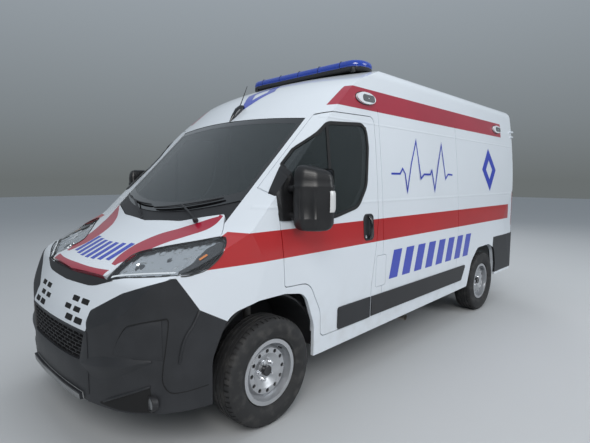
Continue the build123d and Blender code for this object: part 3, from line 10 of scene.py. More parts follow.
from mathutils import Matrix, Vector
from mathutils.bvhtree import BVHTree
from mathutils.kdtree import KDTree


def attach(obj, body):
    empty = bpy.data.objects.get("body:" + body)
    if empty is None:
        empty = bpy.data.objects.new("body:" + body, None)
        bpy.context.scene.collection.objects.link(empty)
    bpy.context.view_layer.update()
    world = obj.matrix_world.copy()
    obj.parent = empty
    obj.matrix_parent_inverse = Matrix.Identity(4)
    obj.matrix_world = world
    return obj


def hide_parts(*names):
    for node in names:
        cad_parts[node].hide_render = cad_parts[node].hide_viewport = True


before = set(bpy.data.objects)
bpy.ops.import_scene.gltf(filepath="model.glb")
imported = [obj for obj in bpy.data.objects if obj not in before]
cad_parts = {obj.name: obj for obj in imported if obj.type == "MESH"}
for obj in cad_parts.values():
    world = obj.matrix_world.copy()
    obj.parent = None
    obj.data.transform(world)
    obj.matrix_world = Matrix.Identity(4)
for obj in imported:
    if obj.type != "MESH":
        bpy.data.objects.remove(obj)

LOG = logging.getLogger("ambulance")
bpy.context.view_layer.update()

Point = tuple[float, float, float]
Colour = tuple[float, float, float]
Corner = tuple[float, float, float]
Pair = tuple[float, float]
Station = tuple[float, float, float, float]
Points = tuple[Point, ...]
Pairs = tuple[Pair, ...]
Corners = tuple[Corner, ...]
Socket = bpy.types.NodeSocket
Material = bpy.types.Material

FRONT_X = 1.7585
REAR_X = -1.6915
REAR_SKIN_X = -2.6715
VEHICLE = "vehicle"


class Side(Enum):
    """The two sides of the vehicle, with the sign of their Y."""

    LEFT = 1
    RIGHT = -1

    @property
    def word(self) -> str:
        """The side's word in a node's name."""
        return self.name.lower()


# Finishes


class Recipe:
    """The node tree of one finish, with short calls for the sums it needs."""

    def __init__(self, name: str) -> None:
        """Start a finish.

        Args:
            name: Name of the material.
        """
        self.material = bpy.data.materials.new(name)
        self.material.use_nodes = True
        self.tree = self.material.node_tree
        self.shader = self.tree.nodes["Principled BSDF"]
        self.place = self.node("ShaderNodeTexCoord").outputs["Object"]
        parts = self.node("ShaderNodeSeparateXYZ")
        self.link(self.place, parts.inputs[0])
        self.x, self.y, self.z = parts.outputs

    def node(self, kind: str, **settings: object) -> bpy.types.Node:
        """Add a node with its settings and return it.

        Args:
            kind: Blender's name of the node.
            settings: Values of its settings.

        Returns:
            The node.
        """
        made = self.tree.nodes.new(kind)
        for key, value in settings.items():
            setattr(made, key, value)
        return made

    def link(self, source: object, target: Socket) -> None:
        """Join a value or a socket to an input.

        Args:
            source: The value or socket.
            target: The input.
        """
        if isinstance(source, Socket):
            self.tree.links.new(source, target)
        else:
            target.default_value = source

    def sum(self, operation: str, *values: object, clamp: bool = False) -> Socket:
        """One maths node.

        Args:
            operation: Blender's name of the operation.
            values: Numbers or sockets.
            clamp: Whether the result is kept between 0 and 1.

        Returns:
            The node's result.
        """
        made = self.node("ShaderNodeMath", operation=operation, use_clamp=clamp)
        for value, socket in zip(values, made.inputs):
            self.link(value, socket)
        return made.outputs[0]

    def line(self, value: object, slope: object, start: object) -> Socket:
        """A value times a slope, plus a start."""
        return self.sum("ADD", self.sum("MULTIPLY", value, slope), start)

    def step(self, value: object, low: float, high: float) -> Socket:
        """A smooth step of a value from 0 at low to 1 at high.

        Args:
            value: What is compared.
            low: Where the step starts.
            high: Where it ends.

        Returns:
            The step.
        """
        made = self.node("ShaderNodeMapRange", interpolation_type="SMOOTHSTEP")
        for source, socket in zip((value, low, high, 0.0, 1.0), made.inputs):
            self.link(source, socket)
        return made.outputs[0]

    def all_of(self, *masks: object) -> Socket:
        """The product of several masks.

        Args:
            masks: Numbers or sockets.

        Returns:
            Their product.
        """
        result = masks[0]
        for mask in masks[1:]:
            result = self.sum("MULTIPLY", result, mask)
        return result

    def any_of(self, *masks: object) -> Socket:
        """The largest of several masks.

        Args:
            masks: Numbers or sockets.

        Returns:
            The largest.
        """
        result = masks[0]
        for mask in masks[1:]:
            result = self.sum("MAXIMUM", result, mask)
        return result

    def band(self, value: object, low: float, high: float, soft: float = 0.001) -> Socket:
        """A mask that is 1 between two values, with soft edges."""
        return self.all_of(self.step(value, low - soft, low + soft),
                           self.step(value, high + soft, high - soft))

    def noise(self, scale: float, detail: float = 3.0, stretch: Point = (1, 1, 1)) -> Socket:
        """Noise on the object's own coordinates.

        Args:
            scale: Fineness of the noise.
            detail: Number of finer layers.
            stretch: Scale of each axis before the noise.

        Returns:
            The noise factor.
        """
        mapping = self.node("ShaderNodeMapping")
        mapping.inputs["Scale"].default_value = stretch
        self.link(self.place, mapping.inputs["Vector"])
        made = self.node("ShaderNodeTexNoise")
        made.inputs["Scale"].default_value = scale
        made.inputs["Detail"].default_value = detail
        self.link(mapping.outputs[0], made.inputs["Vector"])
        return made.outputs["Fac"]

    def mix(self, share: object, first: object, second: object) -> Socket:
        """Mix two colours by a share.

        Args:
            share: Share of the second colour.
            first: The first colour.
            second: The second colour.

        Returns:
            The mixed colour.
        """
        made = self.node("ShaderNodeMix", data_type="RGBA")
        self.link(share, made.inputs[0])
        self.link(opaque(first), made.inputs[6])
        self.link(opaque(second), made.inputs[7])
        return made.outputs[2]

    def curve(self, value: object, points: Sequence[Pair], low: float, high: float) -> object:
        """A value looked up on a line through points.

        Args:
            value: The socket to look up, in metres.
            points: Pairs of value and result, in metres, in rising order.
            low: Value and result at the curve's 0.
            high: Value and result at the curve's 1.

        Returns:
            The result, in metres.
        """
        span = high - low
        made = self.node("ShaderNodeFloatCurve")
        line = made.mapping.curves[0]
        scaled = [((a - low) / span, (b - low) / span) for a, b in points]
        line.points[0].location = scaled[0]
        line.points[1].location = scaled[-1]
        for a, b in scaled[1:-1]:
            line.points.new(a, b)
        made.mapping.extend = "HORIZONTAL"
        made.mapping.update()
        self.link(self.sum("DIVIDE", self.sum("SUBTRACT", value, low), span), made.inputs["Value"])
        return self.line(made.outputs[0], span, low)

    def bump(self, height: object, distance: float, strength: float = 1.0) -> None:
        """Give the surface a relief, over any that it already has.

        Args:
            height: The relief's mask.
            distance: Its height in metres.
            strength: How much of it is used.
        """
        made = self.node("ShaderNodeBump")
        made.inputs["Strength"].default_value = strength
        made.inputs["Distance"].default_value = distance
        self.link(height, made.inputs["Height"])
        before = self.shader.inputs["Normal"].links
        if before:
            self.link(before[0].from_socket, made.inputs["Normal"])
        self.link(made.outputs[0], self.shader.inputs["Normal"])

    def set(self, **values: object) -> None:
        """Set the shader's inputs, written with underscores for spaces."""
        for key, value in values.items():
            name = key.replace("_", " ")
            if name in ("Base Color", "Emission Color", "Specular Tint", "Coat Tint"):
                value = opaque(value)
            self.link(value, self.shader.inputs[name])


def opaque(colour: object) -> object:
    """A colour of three numbers as one of four; a socket stays itself.

    Args:
        colour: The colour, or a socket.

    Returns:
        The colour with an alpha of 1, or the socket.
    """
    if isinstance(colour, (tuple, list)) and len(colour) == 3:
        return (*colour, 1.0)
    return colour


@dataclass(frozen=True)
class Livery:
    """Sizes of the coloured bands on the white body, in metres; ahead is measured from the front axle."""

    white: Colour = (0.70, 0.745, 0.80)
    red: Colour = (0.44, 0.004, 0.006)
    crimson: Colour = (0.36, 0.006, 0.030)
    grime: Colour = (0.42, 0.40, 0.37)
    lower_band: Pair = (1.062, 1.240)
    lower_band_rear: float = -4.2
    lower_band_nose: tuple[Pair, Pair] = ((1.062, 0.462), (1.240, 0.262))
    upper_band: Pair = (2.085, 2.25)
    upper_band_rear: float = -4.02
    upper_band_nose: tuple[Pair, Pair] = ((2.085, -0.612), (2.25, -0.854))
    side_from: float = 0.86


class Paint:
    """Gloss body paint with its coloured bands."""

    livery = Livery()

    def bonnet_mask(self, r: Recipe) -> Socket:
        """The two curved flashes on the bonnet and the band along its lip.

        Args:
            r: The finish that is made.

        Returns:
            A mask, 1 on the red.
        """
        ahead = r.sum("SUBTRACT", r.x, FRONT_X)
        left = r.sum("ABSOLUTE", r.y)
        inner = r.curve(ahead, [(0.17, 0.70), (0.213, 0.616), (0.302, 0.467), (0.432, 0.330), (0.585, 0.290),
                                (0.694, 0.343), (0.76, 0.43)], 0.0, 1.0)
        outer = r.curve(ahead, [(0.17, 0.735), (0.219, 0.722), (0.333, 0.628), (0.469, 0.509), (0.627, 0.440),
                                (0.695, 0.40), (0.76, 0.43)], 0.0, 1.0)
        flash = r.all_of(r.step(r.sum("SUBTRACT", left, inner), 0.0, 0.002),
                         r.step(r.sum("SUBTRACT", outer, left), 0.0, 0.002),
                         r.band(ahead, 0.16, 0.70))
        front = r.curve(left, [(0.0, 0.805), (0.25, 0.797), (0.39, 0.778), (0.5, 0.76)], 0.0, 1.0)
        behind = r.sum("SUBTRACT", front, ahead)
        lip = r.all_of(r.band(behind, -0.02, 0.036), r.step(left, 0.41, 0.408), r.step(r.z, 1.1, 1.05))
        return r.any_of(flash, lip)

    def body(self) -> Material:
        """White paint with the red bands on the body's sides.

        Returns:
            The finished material.
        """
        r = Recipe("body_paint")
        b = self.livery
        ahead = r.sum("SUBTRACT", r.x, FRONT_X)
        left = r.sum("ABSOLUTE", r.y)
        masks = []
        for (low, high), rear, nose in ((b.lower_band, b.lower_band_rear, b.lower_band_nose),
                                        (b.upper_band, b.upper_band_rear, b.upper_band_nose)):
            (z0, x0), (z1, x1) = nose
            slope = (x1 - x0) / (z1 - z0)
            front = r.line(r.sum("SUBTRACT", r.z, z0), slope, x0)
            masks.append(
                r.all_of(r.band(r.z, low, high), r.step(r.sum("SUBTRACT", front, ahead), 0.0, 0.002),
                         r.step(ahead, rear, rear + 0.002), r.step(left, b.side_from, b.side_from + 0.001)))
        red = r.any_of(*masks)
        self.finish(r, red)
        return r.material

    def bonnet(self) -> Material:
        """White paint with the bonnet's flashes and lip.

        Returns:
            The finished material.
        """
        r = Recipe("bonnet_paint")
        self.finish(r, self.bonnet_mask(r))
        return r.material

    def finish(self, r: Recipe, red: Socket) -> None:
        """Colour, gloss, faint waviness and road film low down.

        Args:
            r: The finish that is made.
            red: Mask of the red film.
        """
        b = self.livery
        cloud = r.noise(1.1, 4.0)
        white = r.mix(r.step(cloud, 0.3, 0.7), b.white, tuple(c * 0.97 for c in b.white))
        film = r.all_of(r.step(r.z, 0.95, 0.35), r.step(r.noise(9.0, 6.0), 0.35, 0.8), 0.22)
        high = r.any_of(r.step(r.z, 1.5, 1.6), r.step(r.sum("ABSOLUTE", r.y), 0.86, 0.84))
        tint = r.mix(high, b.red, b.crimson)
        painted = r.mix(red, white, r.mix(r.step(cloud, 0.3, 0.7), tint, r.mix(0.12, tint, (0.0, 0.0, 0.0))))
        r.set(Base_Color=r.mix(film, painted, b.grime), Coat_Weight=0.7, Coat_Roughness=0.04)
        r.set(Roughness=r.line(film, 0.8, 0.30))
        r.bump(r.noise(420.0, 2.0), 0.00002, 0.25)
        r.bump(red, 0.00015, 0.3)
        side = r.step(r.sum("ABSOLUTE", r.y), 0.88, 0.90)
        crease = r.any_of(r.band(r.z, 1.978, 1.990, 0.006), r.band(r.z, 1.372, 1.388, 0.010))
        r.bump(r.all_of(side, crease), 0.004, 0.6)


@dataclass(frozen=True)
class Plastic:
    """Moulded plastic: grained and matt, or smooth."""

    name: str
    colour: Colour
    roughness: float = 0.5
    grain: float = 1500.0
    depth: float = 0.00012
    worn: float = 0.25
    coat: float = 0.0

    def make(self) -> Material:
        """Build the material.

        Returns:
            The finished material.
        """
        r = Recipe(self.name)
        mottle = r.noise(6.0, 5.0)
        faded = tuple(min(1.0, c * (1 + self.worn) + 0.01 * self.worn) for c in self.colour)
        r.set(Base_Color=r.mix(r.step(mottle, 0.35, 0.7), self.colour, faded), Coat_Weight=self.coat)
        r.set(Roughness=r.line(mottle, 0.12, self.roughness - 0.06))
        r.bump(r.noise(self.grain, 2.0), self.depth, 0.5)
        return r.material


@dataclass(frozen=True)
class Metal:
    """Bare, cast or painted metal."""

    name: str
    colour: Colour
    roughness: float
    metallic: float = 1.0
    grain: float = 300.0
    depth: float = 0.0001
    stain: Colour = (0.05, 0.045, 0.04)
    stained: float = 0.3

    def make(self) -> Material:
        """Build the material.

        Returns:
            The finished material.
        """
        r = Recipe(self.name)
        patch = r.step(r.noise(7.0, 6.0), 0.5, 0.75)
        r.set(Base_Color=r.mix(r.sum("MULTIPLY", patch, self.stained), self.colour, self.stain),
              Metallic=self.metallic)
        r.set(Roughness=r.line(patch, 0.25, self.roughness))
        r.bump(r.noise(self.grain, 3.0), self.depth, 0.4)
        return r.material


@dataclass(frozen=True)
class Glass:
    """Window and lamp glass."""

    name: str
    colour: Colour
    alpha: float
    roughness: float = 0.02
    coat: float = 1.0

    def make(self) -> Material:
        """Build the material: a clear, tinted skin with a hard gloss.

        Returns:
            The finished material.
        """
        r = Recipe(self.name)
        smear = r.noise(3.0, 4.0)
        r.set(Base_Color=r.mix(smear, self.colour, tuple(c * 0.85 for c in self.colour)), Alpha=self.alpha)
        r.set(Roughness=r.line(smear, 0.03, self.roughness), Coat_Weight=self.coat)
        r.bump(r.noise(2.0, 1.0), 0.0004, 0.15)
        return r.material


@dataclass(frozen=True)
class ScreenGlass:
    """Windscreen glass with its dark printed border."""

    name: str
    colour: Colour
    alpha: float
    half: float = 0.748

    def make(self) -> Material:
        """Build the material: tinted glass that turns black and dense in the border.

        Returns:
            The finished material.
        """
        r = Recipe(self.name)
        share = r.sum("POWER", r.sum("DIVIDE", r.sum("ABSOLUTE", r.y), 0.785), 2.0)
        top = r.step(r.sum("ADD", r.z, r.sum("MULTIPLY", share, 0.034)), 1.975, 1.979)
        low = r.step(r.sum("SUBTRACT", r.z, r.sum("MULTIPLY", share, 0.100)), 1.385, 1.381)
        border = r.any_of(top, low, r.step(r.sum("ABSOLUTE", r.y), self.half, self.half + 0.003))
        smear = r.noise(3.0, 4.0)
        r.set(Base_Color=r.mix(border, self.colour, (0.006, 0.006, 0.007)), Coat_Weight=1.0)
        r.set(Alpha=r.line(border, 1.0 - self.alpha, self.alpha))
        r.set(Roughness=r.line(smear, 0.03, 0.02))
        r.bump(smear, 0.0004, 0.1)
        return r.material


@dataclass(frozen=True)
class Rubber:
    """Tyre and seal rubber."""

    name: str
    colour: Colour = (0.018, 0.018, 0.019)
    dust: Colour = (0.09, 0.085, 0.08)

    def make(self) -> Material:
        """Build the material: dusty, matt rubber.

        Returns:
            The finished material.
        """
        r = Recipe(self.name)
        share = r.step(r.noise(14.0, 6.0), 0.45, 0.8)
        r.set(Base_Color=r.mix(r.sum("MULTIPLY", share, 0.5), self.colour, self.dust), Roughness=0.72)
        r.bump(r.noise(900.0, 3.0), 0.0002, 0.5)
        return r.material


@dataclass(frozen=True)
class Cloth:
    """Woven seat cloth."""

    name: str
    colour: Colour

    def make(self) -> Material:
        """Build the material: a fine weave with a little sheen.

        Returns:
            The finished material.
        """
        r = Recipe(self.name)
        wave = r.node("ShaderNodeTexWave", wave_type="BANDS")
        wave.inputs["Scale"].default_value = 260.0
        r.link(r.place, wave.inputs["Vector"])
        tint = r.mix(wave.outputs["Fac"], self.colour, tuple(c * 1.6 for c in self.colour))
        r.set(Base_Color=tint, Roughness=0.85, Sheen_Weight=0.4)
        r.bump(wave.outputs["Fac"], 0.0004, 0.5)
        return r.material


class Finishes:
    """Every finish of the vehicle, made once."""

    def __init__(self) -> None:
        """Build the materials."""
        paint = Paint()
        self.body = paint.body()
        self.bonnet = paint.bonnet()
        made = (
            Plastic("bumper_plastic", (0.016, 0.017, 0.020), 0.50, 1400.0, 0.00025),
            Plastic("black_plastic", (0.014, 0.014, 0.016), 0.45, 1800.0, 0.0001),
            Plastic("mirror_plastic", (0.010, 0.010, 0.011), 0.34, 1300.0, 0.00018),
            Plastic("matt_black", (0.004, 0.004, 0.0045), 0.8, 900.0, 0.0002, 0.1),
            Plastic("gloss_black", (0.008, 0.008, 0.010), 0.12, 500.0, 0.00001, 0.1, 0.6),
            Plastic("dash_plastic", (0.045, 0.045, 0.05), 0.6, 900.0, 0.0003),
            Plastic("grey_skid", (0.17, 0.175, 0.18), 0.45, 1400.0, 0.0002),
            Plastic("blue_film", (0.006, 0.030, 0.42), 0.3, 500.0, 0.00001, 0.05, 0.7),
            Plastic("lamp_white", (0.72, 0.76, 0.80), 0.22, 260.0, 0.0001, 0.05, 0.8),
            Metal("floor_paint", (0.35, 0.36, 0.37), 0.5, 0.0),
            Metal("chassis_paint", (0.018, 0.018, 0.019), 0.55, 0.0, 200.0, 0.0003, (0.12, 0.07, 0.04), 0.35),
            Metal("cast_metal", (0.16, 0.155, 0.15), 0.55, 0.8, 160.0, 0.0006, (0.08, 0.04, 0.02), 0.5),
            Metal("exhaust_steel", (0.36, 0.33, 0.30), 0.42, 1.0, 140.0, 0.0003, (0.13, 0.08, 0.05), 0.6),
            Metal("wheel_paint", (0.52, 0.53, 0.55), 0.30, 0.75, 500.0, 0.00005, (0.10, 0.09, 0.08), 0.15),
            Plastic("dark_blue", (0.002, 0.008, 0.06), 0.25, 400.0, 0.00002, 0.1, 0.5),
            Plastic("lamp_grey", (0.10, 0.105, 0.11), 0.15, 240.0, 0.0002, 0.2, 0.9),
            Metal("lamp_chrome", (0.86, 0.88, 0.90), 0.12, 1.0, 220.0, 0.00004, (0.5, 0.5, 0.5), 0.1),
            Metal("mirror_glass", (0.62, 0.65, 0.68), 0.015, 1.0, 2.0, 0.0002, (0.5, 0.5, 0.5), 0.05),
            Metal("bright_metal", (0.80, 0.81, 0.83), 0.08, 1.0, 300.0, 0.00001, (0.4, 0.4, 0.4), 0.1),
            Glass("screen_glass", (0.02, 0.028, 0.03), 0.62),
            ScreenGlass("windscreen_glass", (0.02, 0.028, 0.03), 0.62),
            Glass("dark_glass", (0.008, 0.010, 0.012), 0.90),
            Glass("lamp_glass", (0.30, 0.32, 0.34), 0.07),
            Glass("lamp_clear", (0.80, 0.80, 0.80), 0.85, 0.08),
            Glass("dark_lens", (0.03, 0.035, 0.045), 0.75, 0.02),
            Glass("blue_lens", (0.008, 0.05, 0.42), 0.93, 0.10),
            Glass("red_lens", (0.42, 0.008, 0.010), 0.95, 0.12),
            Glass("amber_lens", (0.75, 0.22, 0.02), 0.95, 0.12),
            Rubber("tyre_rubber"),
            Rubber("seal_rubber", (0.007, 0.007, 0.008), (0.02, 0.02, 0.02)),
            Cloth("seat_cloth", (0.030, 0.034, 0.045)),
        )
        for finish in made:
            setattr(self, finish.name, finish.make())


NODE_FINISHES = {
    "bumper_plastic": "rear_bumper front_bumper",
    "red_lens": "tail_lamps",
    "body": "side_left fuel_flap side_right sliding_door front_door_left front_door_right front_panel "
        "wings roof rear_door_left rear_door_right tail_hinges",
    "dark_glass": "sliding_door_glass rear_glass_left rear_glass_right",
    "screen_glass": "front_glass_left front_glass_right",
    "black_plastic": "side_strips front_carrier cowl arch_liners steering_wheel fuel_tank mirror_left "
        "mirror_right light_bar_base",
    "bonnet": "bonnet",
    "lamp_glass": "headlamp_glass",
    "gloss_black": "headlamps",
    "windscreen_glass": "windscreen",
    "floor_paint": "floor wheel_boxes bulkheads",
    "dash_plastic": "dashboard",
    "seat_cloth": "driver_seat passenger_seat",
    "chassis_paint": "chassis rear_axle front_suspension",
    "cast_metal": "engine knuckle_left knuckle_right",
    "exhaust_steel": "exhaust",
    "wheel_paint": "rim_front_left rim_front_right rim_rear_left rim_rear_right",
    "tyre_rubber": "tyre_front_left tyre_front_right tyre_rear_left tyre_rear_right",
    "blue_lens": "light_bar",
    "lamp_white": "side_lamps",
}


def dress_nodes(finishes: Finishes) -> None:
    """Give every CAD node its finish.

    Args:
        finishes: The vehicle's finishes.
    """
    for finish, names in NODE_FINISHES.items():
        for name in names.split():
            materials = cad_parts[name].data.materials
            materials.clear()
            materials.append(getattr(finishes, finish))


# Shaping


def rounded(corners: Sequence[Corner], arc_steps: int = 5) -> list[Pair]:
    """The dense outline of a polygon with rounded corners.

    Args:
        corners: Corner places and radii.
        arc_steps: Steps of each rounding.

    Returns:
        Points of the closed outline.
    """
    result: list[Pair] = []
    count = len(corners)
    for i, (x, z, radius) in enumerate(corners):
        here = Vector((x, z))
        back = (Vector(corners[i - 1][:2]) - here)
        on = (Vector(corners[(i + 1) % count][:2]) - here)
        if radius <= 0:
            result.append((x, z))
            continue
        half = back.angle(on) / 2
        reach = min(radius / math.tan(half), 0.48 * back.length, 0.48 * on.length)
        radius = reach * math.tan(half)
        back.normalize()
        on.normalize()
        centre = here + (back + on).normalized() * (radius / math.sin(half))
        first = here + back * reach - centre
        last = here + on * reach - centre
        turn = math.atan2(first.x * last.y - first.y * last.x, first.dot(last))
        for step in range(arc_steps + 1):
            angle = turn * step / arc_steps
            c, s = math.cos(angle), math.sin(angle)
            result.append((centre.x + first.x * c - first.y * s, centre.y + first.x * s + first.y * c))
    return result


def side_skin(z: float) -> float:
    """Distance of the body side's skin from the vehicle's middle, where the side is straight along X.

    Args:
        z: Height above the ground.

    Returns:
        Distance from the vehicle's middle.
    """
    if z <= 1.05:
        return 1.003 + 0.022 * (z - 0.25) / 0.8
    centre_y, centre_z, radius = SIDE_ARC
    return centre_y + math.sqrt(radius ** 2 - (z - centre_z) ** 2)


def circle_through(a: Pair, b: Pair, c: Pair) -> Corner:
    """Centre and radius of the circle through three points.

    Args:
        a: A point.
        b: A second point.
        c: A third point.

    Returns:
        The centre's two coordinates and the radius.
    """
    d = 2 * (a[0] * (b[1] - c[1]) + b[0] * (c[1] - a[1]) + c[0] * (a[1] - b[1]))
    squares = [p[0] ** 2 + p[1] ** 2 for p in (a, b, c)]
    x = (squares[0] * (b[1] - c[1]) + squares[1] * (c[1] - a[1]) + squares[2] * (a[1] - b[1])) / d
    y = (squares[0] * (c[0] - b[0]) + squares[1] * (a[0] - c[0]) + squares[2] * (b[0] - a[0])) / d
    return x, y, math.hypot(a[0] - x, a[1] - y)


SIDE_ARC = circle_through((1.025, 1.05), (0.98, 1.75), (0.895, 2.44))


def spread(points: Sequence[Point], count: int) -> list[Point]:
    """Points evenly spaced along a line through points.

    Args:
        points: Corners of the line.
        count: How many points are wanted.

    Returns:
        The points.
    """
    line = [Vector(p) for p in points]
    lengths = [(b - a).length for a, b in zip(line, line[1:])]
    whole = sum(lengths)
    result = []
    for i in range(count):
        rest = whole * i / (count - 1)
        for (a, b), length in zip(zip(line, line[1:]), lengths):
            if rest <= length + 1e-9:
                break
            rest -= length
        result.append(tuple(a.lerp(b, min(1.0, rest / length))))
    return result


def smooth_line(points: Sequence[Point], count: int) -> list[Point]:
    """Points along a smooth curve that passes through points.

    Args:
        points: Points that the curve passes through.
        count: How many points are wanted.

    Returns:
        The points.
    """
    line = [Vector(p) for p in points]
    result = []
    for i in range(count):
        at = (len(line) - 1) * i / (count - 1)
        k = min(int(at), len(line) - 2)
        t = at - k
        a, b = line[max(k - 1, 0)], line[k]
        c, d = line[k + 1], line[min(k + 2, len(line) - 1)]
        spot = (b * 2 + (c - a) * t + (a * 2 - b * 5 + c * 4 - d) * t ** 2
                + (b * 3 - a - c * 3 + d) * t ** 3) / 2
        result.append(tuple(spot))
    return result


def grown(outline: Sequence[Pair], amount: float) -> list[Pair]:
    """A closed outline moved outwards, or inwards by a negative amount.

    Args:
        outline: The closed outline.
        amount: How far it moves.

    Returns:
        The moved outline.
    """
    count = len(outline)
    turn = sum(a[0] * b[1] - b[0] * a[1] for a, b in zip(outline, list(outline[1:]) + [outline[0]]))
    sign = 1 if turn > 0 else -1
    result = []
    for i, (u, v) in enumerate(outline):
        back = Vector((u - outline[i - 1][0], v - outline[i - 1][1]))
        on = Vector((outline[(i + 1) % count][0] - u, outline[(i + 1) % count][1] - v))
        way = (back.normalized() + on.normalized()).normalized()
        result.append((u + sign * way.y * amount, v - sign * way.x * amount))
    return result


def lookup(value: float, table: Sequence[Pair]) -> float:
    """A result looked up on straight lines between the rows of a table.

    Args:
        value: What is looked up.
        table: Pairs of value and result, in rising order.

    Returns:
        The result.
    """
    for (a, first), (b, second) in zip(table, table[1:]):
        if value <= b or b == table[-1][0]:
            share = min(1.0, max(0.0, (value - a) / (b - a)))
            return first + (second - first) * share
    return table[-1][1]


NOSE_LINE = ((0.320, 0.9300), (0.345, 0.9327), (0.400, 0.9389), (0.480, 0.9458), (0.530, 0.9436),
             (0.600, 0.9386), (0.700, 0.9294), (0.730, 0.9260), (0.800, 0.8940), (0.900, 0.8481),
             (0.940, 0.8289), (0.970, 0.8143), (1.000, 0.8000))
NOSE_ARC = circle_through((0.948, 0.0), (0.925, 0.350), (0.862, 0.620))
CROWN = 3.5


def nose_skin(left: float, z: float) -> float:
    """X of the nose's skin between the lamps.

    Args:
        left: Distance left of the middle.
        z: Height above the ground.

    Returns:
        The skin's X.
    """
    line = lookup(z, NOSE_LINE)
    crown = math.sqrt((CROWN + line) ** 2 - left * left) - CROWN
    centre_x, centre_y, radius = NOSE_ARC
    plan = centre_x + math.sqrt(radius ** 2 - (abs(left) - centre_y) ** 2)
    return ahead(min(crown, plan))


def screen_skin(left: float, z: float) -> float:
    """X of the windscreen's skin."""
    return ahead(math.sqrt((CROWN + 0.310 - (z - 1.245)) ** 2 - left * left) - CROWN)


def skin_frame(node: str, line: Sequence[Pair], edges: Pair, lift: float,
               side: "Side") -> list[tuple[Point, Point]]:
    """Rows of a closed ribbon that lies on a side's skin and stays square to it.

    Args:
        node: The CAD node that it lies on.
        line: A closed line in side view.
        edges: Distances of the inner and the outer edge from the line.
        lift: Distance from the skin.
        side: The side of the vehicle.

    Returns:
        Pairs of an outer and an inner point.
    """
    tree = skin_tree(node)
    sign = side.value
    hits = [tree.ray_cast(Vector((x, 4.0 * sign, z)), Vector((0, -sign, 0))) for x, z in line]
    hits = [hit for hit in hits if hit[0]]
    points = [hit[0] for hit in hits]
    count = len(points)
    middle = sum(points, Vector()) / count
    rows = []
    for k, point in enumerate(points):
        normal = sum((hits[(k + step) % count][1] for step in range(-3, 4)), Vector()).normalized()
        across = (points[(k + 1) % count] - points[k - 1]).cross(normal).normalized()
        if across.dot(point - middle) < 0:
            across = -across
        rows.append((tuple(point + across * edges[1] + normal * lift),
                     tuple(point + across * edges[0] + normal * lift)))
    return rows


@lru_cache(maxsize=None)
def skin_tree(nodes: str) -> BVHTree:
    """The skins of some CAD nodes, ready for casting rays on them.

    Args:
        nodes: Names of the nodes, with spaces between.

    Returns:
        The search tree.
    """
    points: list[Vector] = []
    faces: list[list[int]] = []
    for name in nodes.split():
        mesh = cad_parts[name].data
        start = len(points)
        points += [vertex.co.copy() for vertex in mesh.vertices]
        faces += [[start + index for index in face.vertices] for face in mesh.polygons]
    return BVHTree.FromPolygons(points, faces)


